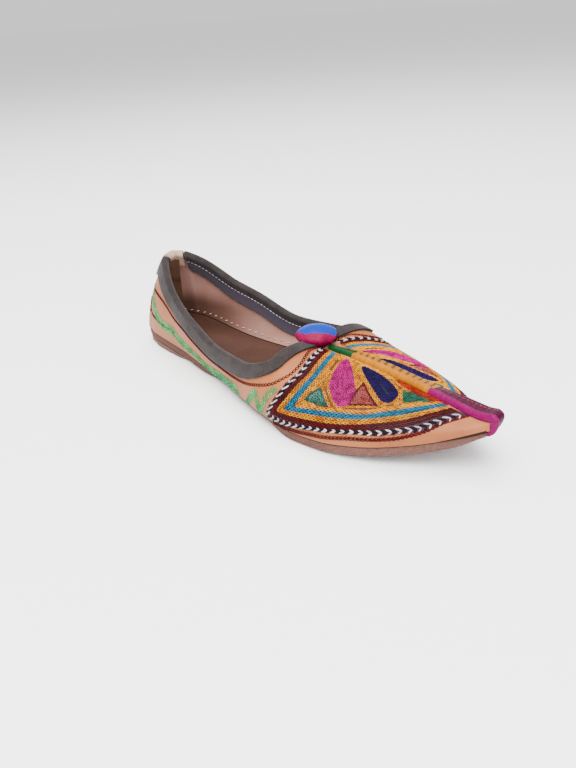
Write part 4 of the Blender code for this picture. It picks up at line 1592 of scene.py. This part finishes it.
@dataclass(frozen=True)
class Length:
    """One colour of the cord: its shares of the ridge, its satin, and its flange colour, that satin
    darkened with painted shade.
    """

    colour: str
    start: float
    end: float
    satin: ThreadFinish
    flange: tuple[float, float, float]
    relief: float


@dataclass
class Ridge:
    """The satin-wrapped cord on the ridge of the vamp, with a flange on its far side."""

    first: float = 11.5 * MM
    half_width: float = 2.1 * MM
    height: float = 2.2 * MM
    root: float = 0.9 * MM
    step: float = 0.4 * MM
    around: int = 22
    crease: float = 0.62 * MM
    flange_lines: int = 15
    flange_end: float = 0.6 * MM
    # Each flange colour is its satin's own colour darkened with painted shade, for the far side
    # that turns from the light
    lengths: tuple[Length, ...] = (
        Length("green", 0.0, 0.22, ThreadFinish(
            "green_satin", (0.0006, 0.042, 0.010), (0.0004, 0.018, 0.005), roughness=0.32,
            coat=0.04, scale=900.0, gloss=0.12), (0.0008, 0.030, 0.009), 0.5),
        Length("yellow", 0.22, 0.615, ThreadFinish(
            "yellow_satin", (0.36, 0.13, 0.0001), (0.20, 0.055, 0.0001), roughness=0.36,
            coat=0.02, scale=900.0, gloss=0.06), (0.26, 0.095, 0.0002), 1.0),
        Length("magenta", 0.615, 1.0, ThreadFinish(
            "magenta_satin", (0.155, 0.0001, 0.062), (0.08, 0.0001, 0.032), roughness=0.36,
            coat=0.02, scale=900.0, gloss=0.06), (0.060, 0.0002, 0.022), 0.2))
    dots: ThreadFinish = ThreadFinish(
        "flange_stitching", (0.30, 0.06, 0.09), (0.16, 0.02, 0.035), roughness=0.5)

    def __post_init__(self) -> None:
        """Works out points, normals and lengths along the ridge, round the tip to the sole."""
        stations = np.linspace(TOPLINE[-1][0], LAST.end - 0.12, 400)
        ridge = LAST.point(stations, 1.0)
        tip = LAST.point(LAST.end, 1.0)
        t = np.linspace(0.0, 1.0, 60)[1:, None]
        a, (b, c, d) = ridge[-1], tip + np.array(
            [[-1.0, 0.0, 0.0], [-0.9, 0.0, -4.2], [-4.2, 0.0, -6.0]]) * MM
        curl = (1 - t) ** 3 * a + 3 * (1 - t) ** 2 * t * b + 3 * (1 - t) * t * t * c + t**3 * d
        self.points = np.concatenate([ridge, curl])
        run = unit(np.gradient(self.points, axis=0))
        self.normals = np.stack([-run[:, 2], np.zeros(len(run)), run[:, 0]], axis=-1)
        self.at = lengths_along(self.points + self.normals * 1.2 * MM)
        self.total = self.at[-1]

    def bow(self, at: np.ndarray) -> np.ndarray:
        """How far the cord lies off the middle, towards the far side, at some lengths."""
        return np.interp(at / self.total, (0.0, 0.12, 0.3, 0.55, 0.72, 0.92),
                         (0.0, 0.9, 2.5, 3.3, 2.1, 0.0)) * MM

    def cord(self, name: str, start: float, end: float) -> bpy.types.Object:
        """One length of the cord.

        Args:
            name: the piece's name.
            start: where it starts along the ridge.
            end: where it ends.

        Returns:
            The closed piece.
        """
        at = np.arange(start, end, self.step)
        at = np.r_[at[at < end - self.step / 2.0], end]
        here = read_at(self.points, self.at, at)
        normal = unit(read_at(self.normals, self.at, at))
        free = np.clip((at - self.total + 14.0 * MM) / (8.0 * MM), 0.0, 1.0)
        level = np.clip((normal[:, 2] - 0.5) / 0.25, 0.0, 1.0)
        rng = np.random.default_rng(len(at))
        ripple = rng.normal(0.0, 0.02, len(at)) * MM
        lines = []
        for angle in np.radians(np.linspace(-90.0, 270.0, self.around)):
            off, high = math.cos(angle), math.sin(angle)
            rise = LAST.clearance + (self.height if high > 0 else self.root) * high
            sag = level * 0.40 * MM * off**2
            lift = rise + free * 0.5 * MM * high - sag + ripple * max(high, 0.0)
            line = here + normal * lift[:, None]
            line[:, 1] += off * self.half_width * (1.0 - 0.22 * free) + self.bow(at)
            lines.append(line)
        cord = laid_grid(name, np.stack(lines, axis=1))
        shades = 0.35 + 0.4 * rng.random(len(at))
        label_corners(cord.data, "tint_and_crease_shade", shades[grid_places(cord)[:, 0]])
        welded(cord, None, FINE_WELD)
        only(cord)
        bpy.ops.object.mode_set(mode="EDIT")
        bpy.ops.mesh.select_all(action="DESELECT")
        bpy.ops.mesh.select_non_manifold()
        bpy.ops.mesh.edge_face_add()
        bpy.ops.mesh.select_all(action="SELECT")
        bpy.ops.mesh.normals_make_consistent(inside=False)
        bpy.ops.object.mode_set(mode="OBJECT")
        smooth(cord, 60.0)
        return cord

    def flange_places(self, at: np.ndarray, off: np.ndarray, height: np.ndarray) -> np.ndarray:
        """Points beside the ridge on the far side; towards the toe the flange lies level.

        Args:
            at: lengths along the ridge.
            off: how far off the cord.
            height: how high over the skin.

        Returns:
            The points.
        """
        here = read_at(self.points, self.at, at)
        up = unit(read_at(self.normals, self.at, at))
        dense = np.linspace(TOPLINE[-1][0], LAST.end, 500)
        station = np.interp(here[:, 0], LAST.point(dense, 1.0)[:, 0], dense)
        off = off + self.bow(at)
        skin_up = LAST.slopes(station, np.full_like(station, 0.995))[1]
        s, v = LAST.walk(station, np.full_like(station, 1.0), -skin_up, off, 8)
        on_skin = LAST.point(s, v) + LAST.normal(s, v) * height[:, None]
        lift = np.interp(at / self.total, (0.7, 0.8, 0.9, 1.0), (-0.06, 0.0, 0.12, 0.18))
        level = here + up * (height * 1.15 + lift * off)[:, None]
        level[:, 1] += off * 0.97
        share = np.clip((at / self.total - 0.55) / 0.17, 0.0, 1.0)[:, None]
        share = share * share * (3.0 - 2.0 * share)
        return on_skin * (1.0 - share) + level * share

    def flange(self, name: str, start: float, end: float, relief: float) -> bpy.types.Object:
        """The satin strip that lies beside the cord, on the far side only.

        Args:
            name: the piece's name.
            start: where it starts along the ridge.
            end: where it ends.
            relief: how deeply it is creased.

        Returns:
            The strip.
        """
        at = np.arange(start, min(end, self.total - self.flange_end), 0.35 * MM)
        width = np.interp(at / self.total, (0.08, 0.22, 0.45, 0.65, 0.80, 0.9, 0.95, 1.0),
                          (1.2, 4.2, 7.2, 9.2, 9.4, 8.0, 4.4, 2.0)) * MM
        wave = at / self.crease + 0.9 * np.sin(at / (5.1 * MM))
        shares = np.linspace(0.0, 1.0, self.flange_lines)
        creases = 0.5 + 0.5 * np.sin(wave[:, None] + shares * 4.2)
        lines = []
        for share, crease in zip(shares, creases.T):
            height = 1.9 - 0.75 * share + 0.22 * relief * crease * math.sin(math.pi * share)
            height = height * (1.0 if share < 0.99 else 0.45)
            lines.append(self.flange_places(at, width * share, height * MM))
        strip = laid_grid(name, np.stack(lines, axis=1))
        place = grid_places(strip)
        # Painted shade and light: the creases' valleys are coloured darker and their crests lighter
        crease = creases[place[:, 0], place[:, 1]]
        tint_and_crease_shade = np.clip(0.5 + (crease - 0.35) * 1.4 * relief, 0.0, 1.0)
        label_corners(strip.data, "tint_and_crease_shade", tint_and_crease_shade)
        welded(strip, Vector((0.0, 0.3, 1.0)), FINE_WELD)
        modified(strip, "SOLIDIFY", thickness=0.8 * MM, offset=-1.0)
        smooth(strip, 60.0)
        return strip

    def dotted_line(self) -> None:
        """Dotted stitches along the middle of the magenta flange."""
        at = np.linspace(0.63 * self.total, self.total - 9.0 * MM, 300)
        off = np.interp(at / self.total, (0.60, 0.80, 0.9, 0.95), (5.0, 5.4, 5.0, 4.0)) * MM
        points = self.flange_places(at, off, np.full_like(at, 1.75 * MM))
        upright = np.broadcast_to(np.array([0.0, 0.0, 1.0]), points.shape)
        row = StitchRow(points, upright, 2.4 * MM)
        piece = laid_stitches("flange_stitches", row.frames(1.2 * MM, 0.4 * MM, 0.4 * MM))
        dressed(piece, self.dots.make())

    def build(self) -> None:
        """Makes the three colours, the flange and its stitches."""
        for length in self.lengths:
            colour = length.colour
            start, end = max(self.first, length.start * self.total), length.end * self.total
            cord = self.cord("satin_" + colour, start, end)
            dressed(cord, length.satin.make(), "ridge_cord_" + colour)
            dark = tuple(channel * 0.22 for channel in length.flange)
            satin = ThreadFinish("flange_" + colour, length.flange, dark, roughness=0.38,
                                 coat=0.02, scale=900.0, gloss=0.1)
            dressed(self.flange("flange_" + colour, start, end, length.relief), satin.make())
        self.dotted_line()


@dataclass
class Pompom:
    """The flattened wool ball at the throat."""

    shift: tuple[float, float, float] = (3.4, 0.0, -2.7)
    seat: float = 0.15 * MM
    wool: NapFinish = NapFinish(
        "pompom_wool", (0.20, 0.0001, 0.042), (0.10, 0.0001, 0.020), roughness=0.36, coat=0.02,
        scale=1500.0, gloss=0.05)
    blue: tuple[float, float, float] = (0.0002, 0.024, 0.24)

    def shape(self, centre: Vector, size: Vector) -> bpy.types.Object:
        """The ball, pressed onto the binding and the vamp.

        Args:
            centre: its middle.
            size: its size along each axis.

        Returns:
            The piece.
        """
        nothing_selected()
        bpy.ops.mesh.primitive_uv_sphere_add(segments=96, ring_count=48, radius=0.5)
        ball = bpy.context.object
        ball.name = ball.data.name = "wool_pompom"
        graph = bpy.context.evaluated_depsgraph_get()
        under = [BVHTree.FromObject(bpy.data.objects[name], graph)
                 for name in ("binding", "upper_skin")]
        for vertex in ball.data.vertices:
            way = vertex.co.normalized()
            bulge = 1.0 + (0.025 * math.sin(7.0 * way.x + 3.0 * way.y)
                           * math.cos(5.0 * way.y - 2.0 * way.z))
            place = Vector(vertex.co[k] * size[k] * bulge + centre[k] for k in range(3))
            for tree in under:
                above = Vector((place.x, place.y, 0.1))
                hit = tree.ray_cast(above, Vector((0.0, 0.0, -1.0)))[0]
                if hit is not None:
                    place.z = max(place.z, hit.z + self.seat)
            vertex.co = place
        smooth(ball, 180.0)
        return ball

    def colouring(self, centre: Vector) -> bpy.types.Material:
        """Magenta wool with a blue cap whose edge waves."""
        material, w, shader = self.wool.start()
        place = w.node("TexCoord").outputs["Object"]
        nap = w.node("Group", {"node_tree": FIBRES}, Vector=place, Scale=self.wool.scale)
        tone = w.ramp(nap.outputs["Tone"], 0.3, 0.7)
        red = w.mix(tone, self.wool.dark, self.wool.colour)
        split = w.node("SeparateXYZ", None, Vector=place)
        height = w.maths("MULTIPLY", w.noise(place, 190.0, 2.0), 8.0 * MM)
        for axis, weight in (("Z", 1.0), ("Y", 0.35), ("X", -0.25)):
            along = w.maths("SUBTRACT", split.outputs[axis], float(centre["XYZ".index(axis)]))
            height = w.maths("ADD", height, w.maths("MULTIPLY", along, weight))
        cap = w.ramp(height, 4.4 * MM, 4.9 * MM)
        w.tree.links.new(w.mix(cap, red, self.blue), shader.inputs["Base Color"])
        shader.inputs["Roughness"].default_value = self.wool.roughness
        self.wool.bumped(w, shader, nap.outputs["Height"], NAP_DEPTH)
        return material

    def build(self) -> None:
        """Makes the pompom."""
        low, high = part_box("pompom")
        centre = (low + high) / 2.0 + Vector(self.shift) * MM
        ball = self.shape(centre, high - low)
        dressed(ball, self.colouring(centre), "pompom")


@dataclass
class Sole:
    """Outsole, heel lift, insole, the seams beside them and a dark strip of painted shadow under
    the upper's edge.
    """

    thickness: float = 4.8 * MM
    waist_tuck: float = 5.5 * MM
    breast_tuck: float = 4.0 * MM
    heel_inset: float = 0.9 * MM
    roughness: float = 0.16 * MM
    raw: LeatherFinish = LeatherFinish(
        "sole_leather", (0.19, 0.088, 0.065), (0.08, 0.038, 0.030), roughness=0.85, bump=0.8,
        scale=500.0, streak=500.0)
    stack: LeatherFinish = LeatherFinish(
        "stacked_leather", (0.27, 0.15, 0.125), (0.12, 0.062, 0.050), roughness=0.85, bump=0.8,
        scale=500.0, streak=700.0)
    board: LeatherFinish = LeatherFinish(
        "insole_leather", (0.048, 0.021, 0.0145), (0.030, 0.012, 0.008), scale=500.0)
    shadow: LeatherFinish = LeatherFinish(
        "dark_seam_and_shadow", (0.024, 0.008, 0.005), (0.009, 0.0035, 0.0025), roughness=0.8, bump=0.4)
    thread: ThreadFinish = ThreadFinish(
        "lining_thread", (0.55, 0.36, 0.30), (0.35, 0.2, 0.16))

    def plate(self, name: str, stations: np.ndarray, inset: np.ndarray, foot: np.ndarray,
              top: np.ndarray, bottom: np.ndarray) -> bpy.types.Object:
        """A plate along the feather edge with a rough side.

        Args:
            name: the piece's name.
            stations: where its lines lie.
            inset: how far in its top edge lies.
            foot: how far in its bottom edge lies.
            top: height of its top at each station.
            bottom: height of its underside at each station.

        Returns:
            The closed piece.
        """
        rng = np.random.default_rng(len(stations))
        noise = np.convolve(rng.normal(0.0, 1.0, len(stations) + 8), np.ones(5) / 5.0,
                            "same")[4:-4]
        round_off = np.minimum(0.8 * MM, (top - bottom) * 0.3)
        middle = LAST.feather(stations, np.zeros_like(stations)) * (1.0, 0.0, 1.0)
        lines = [np.stack([middle[:, 0], middle[:, 1], top], axis=-1)]
        for share in (0.0, 0.08, 0.25, 0.45, 0.65, 0.85, 1.0):
            wobble = noise * 0.6 + rng.normal(0.0, 0.25, len(stations))
            wobble = self.roughness * wobble * math.sin(math.pi * share)
            at = inset + (foot - inset) * share + wobble + round_off * (share > 0.99)
            line = LAST.feather(stations, at if share else inset + 0.3 * MM)
            line[:, 2] = top + (bottom - top) * share
            lines.append(line)
        lines.append(np.stack([middle[:, 0], middle[:, 1], bottom], axis=-1))
        points = np.stack(lines, axis=1)
        points[-1, :, 1] = 0.0
        piece = laid_grid(name, points)
        welded(piece, None, FINE_WELD)
        mirrored_over(piece)
        welded(piece)
        smooth(piece, 35.0)
        return piece

    def tube(self, name: str, points: np.ndarray, radius: np.ndarray) -> None:
        """A thin dark line along both sides of the shoe.

        Args:
            name: the piece's name.
            points: its middle on the +Y side.
            radius: how thick it is at each of them.
        """
        lines = []
        for angle in np.linspace(0.0, 2.0 * math.pi, 9):
            ring = (0 * radius, radius * math.cos(angle), radius * math.sin(angle))
            lines.append(points + np.stack(ring, axis=-1))
        line = laid_grid(name, np.stack(lines, axis=1))
        welded(line, None, 1e-7)
        modified(line, "MIRROR", use_axis=(False, True, False), use_mirror_merge=False)
        smooth(line, 60.0)
        dressed(line, self.shadow.make())

    def outsole(self) -> None:
        """The outsole, tucked in at the waist and thinned at the toe."""
        stations = np.linspace(0.0, 13.94, 480)
        top = LAST.point(stations, 0.0)[:, 2] - LAST.clearance
        thick = np.interp(stations, (0.0, 12.9, 13.5, 13.94), (1.0, 1.0, 0.72, 0.25))
        reach = np.interp(stations, (5.0, 6.1, 7.2, 9.2), (0.0, 1.0, 1.0, 0.0))
        tuck = self.waist_tuck * reach * reach * (3.0 - 2.0 * reach)
        inset = np.interp(stations, (12.8, 13.94), (0.5, 0.9)) * MM
        piece = self.plate("outsole_leather", stations, inset, inset + tuck, top,
                           top - self.thickness * thick)
        dressed(piece, self.raw.make(), "outsole")

    def heel(self) -> None:
        """The heel lift, whose front edge is drawn in."""
        stations = np.linspace(0.0, 13.94, 480)
        along = LAST.point(stations, 0.0)[:, 0]
        breast = float(np.interp(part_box("heel_lift")[1].x, along, stations))
        stations = np.linspace(0.0, breast, 200)
        top = LAST.point(stations, 0.0)[:, 2] - self.thickness - 2.0 * LAST.clearance
        tuck = self.breast_tuck * np.clip((stations - breast + 0.8) / 0.8, 0.0, 1.0) ** 2
        inset = self.heel_inset + tuck
        piece = self.plate("heel_leather", stations, inset, inset + 0.3 * MM, top,
                           np.zeros_like(top))
        dressed(piece, self.stack.make(), "heel_lift")

    def seams(self) -> None:
        """The dark strip of painted shadow under the upper's edge, the dark line beside the insole,
        and the insole's stitches.
        """
        stations = np.linspace(0.02, 13.8, 600)
        # Painted shadow: a dark tube in the gap under the upper's edge, thicker near the toe where
        # the edge overhangs the sole
        shadow_path = LAST.feather(stations, np.full_like(stations, 0.35 * MM)) - (0.0, 0.0, 0.12 * MM)
        radius = np.interp(stations, (0.0, 12.4, 13.2, 13.8), (0.42, 0.42, 0.8, 0.9)) * MM
        self.tube("welt_seam", shadow_path, radius)
        stations = np.linspace(0.05, 11.0, 400)
        inner = LAST.feather(stations, np.full_like(stations, 2.5 * MM)) + (0.0, 0.0, 1.7 * MM)
        self.tube("insole_seam", inner, np.full_like(stations, 0.38 * MM))
        share = np.full_like(stations, 0.055)
        normals = LAST.normal(stations, share)
        points = LAST.point(stations, share) - normals * 2.2 * MM
        row = StitchRow(points, -normals, 5.2 * MM, 0.35)
        stitches = laid_stitches("insole_stitches", row.both(2.6 * MM, 0.7 * MM, 0.5 * MM))
        dressed(stitches, self.thread.make())

    def build(self) -> None:
        """Makes the soles, the painted shadow line under the upper, the seam line beside the insole
        and the insole's stitches.
        """
        self.outsole()
        self.heel()
        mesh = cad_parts["insole"].data
        mesh.materials.clear()
        mesh.materials.append(self.board.make())
        self.seams()


@dataclass
class HeelStrip:
    """The brown strip that runs down inside the back of the heel."""

    half_width: float = 4.2 * MM
    thickness: float = 0.5 * MM
    leather: LeatherFinish = LeatherFinish(
        "heel_strip_leather", (0.13, 0.068, 0.040), (0.06, 0.030, 0.017), roughness=0.7,
        scale=700.0)

    def build(self) -> None:
        """Makes the strip on the lining, from the tab to the insole."""
        places = np.linspace(0.0, collar_place(self.half_width), 9)
        station, cut = LAST.collar(places)[:2]
        lines = []
        for share in np.linspace(0.94, 0.1, 30):
            over_tab = 1.75 if share > 0.6 else 0.6 + 1.15 * max(0.0, (share - 0.5) / 0.1)
            lift = LAST.wall + over_tab * MM
            lines.append(LAST.point(station, cut * share)
                         - LAST.normal(station, cut * share) * lift)
        points = np.stack(lines, axis=1)
        points[0, :, 1] = 0.0
        strip = laid_grid("heel_strip", points)
        welded(strip, Vector((1.0, 0.0, 0.0)), FINE_WELD)
        mirrored_over(strip, WELD)
        modified(strip, "SOLIDIFY", thickness=self.thickness, offset=-1.0)
        smooth(strip, 60.0)
        dressed(strip, self.leather.make())


def main() -> None:
    """Builds the shoe's looks and the studio."""
    logging.basicConfig(level=logging.INFO, format="%(message)s")
    pattern = Pattern()
    for part in (Upper(pattern), Collar(), HeelStrip(), Ridge(), Pompom(), Sole(),
                 Embroidery(pattern), Studio()):
        LOG.info("%s", type(part).__name__)
        part.build()


if __name__ == "__main__":
    main()
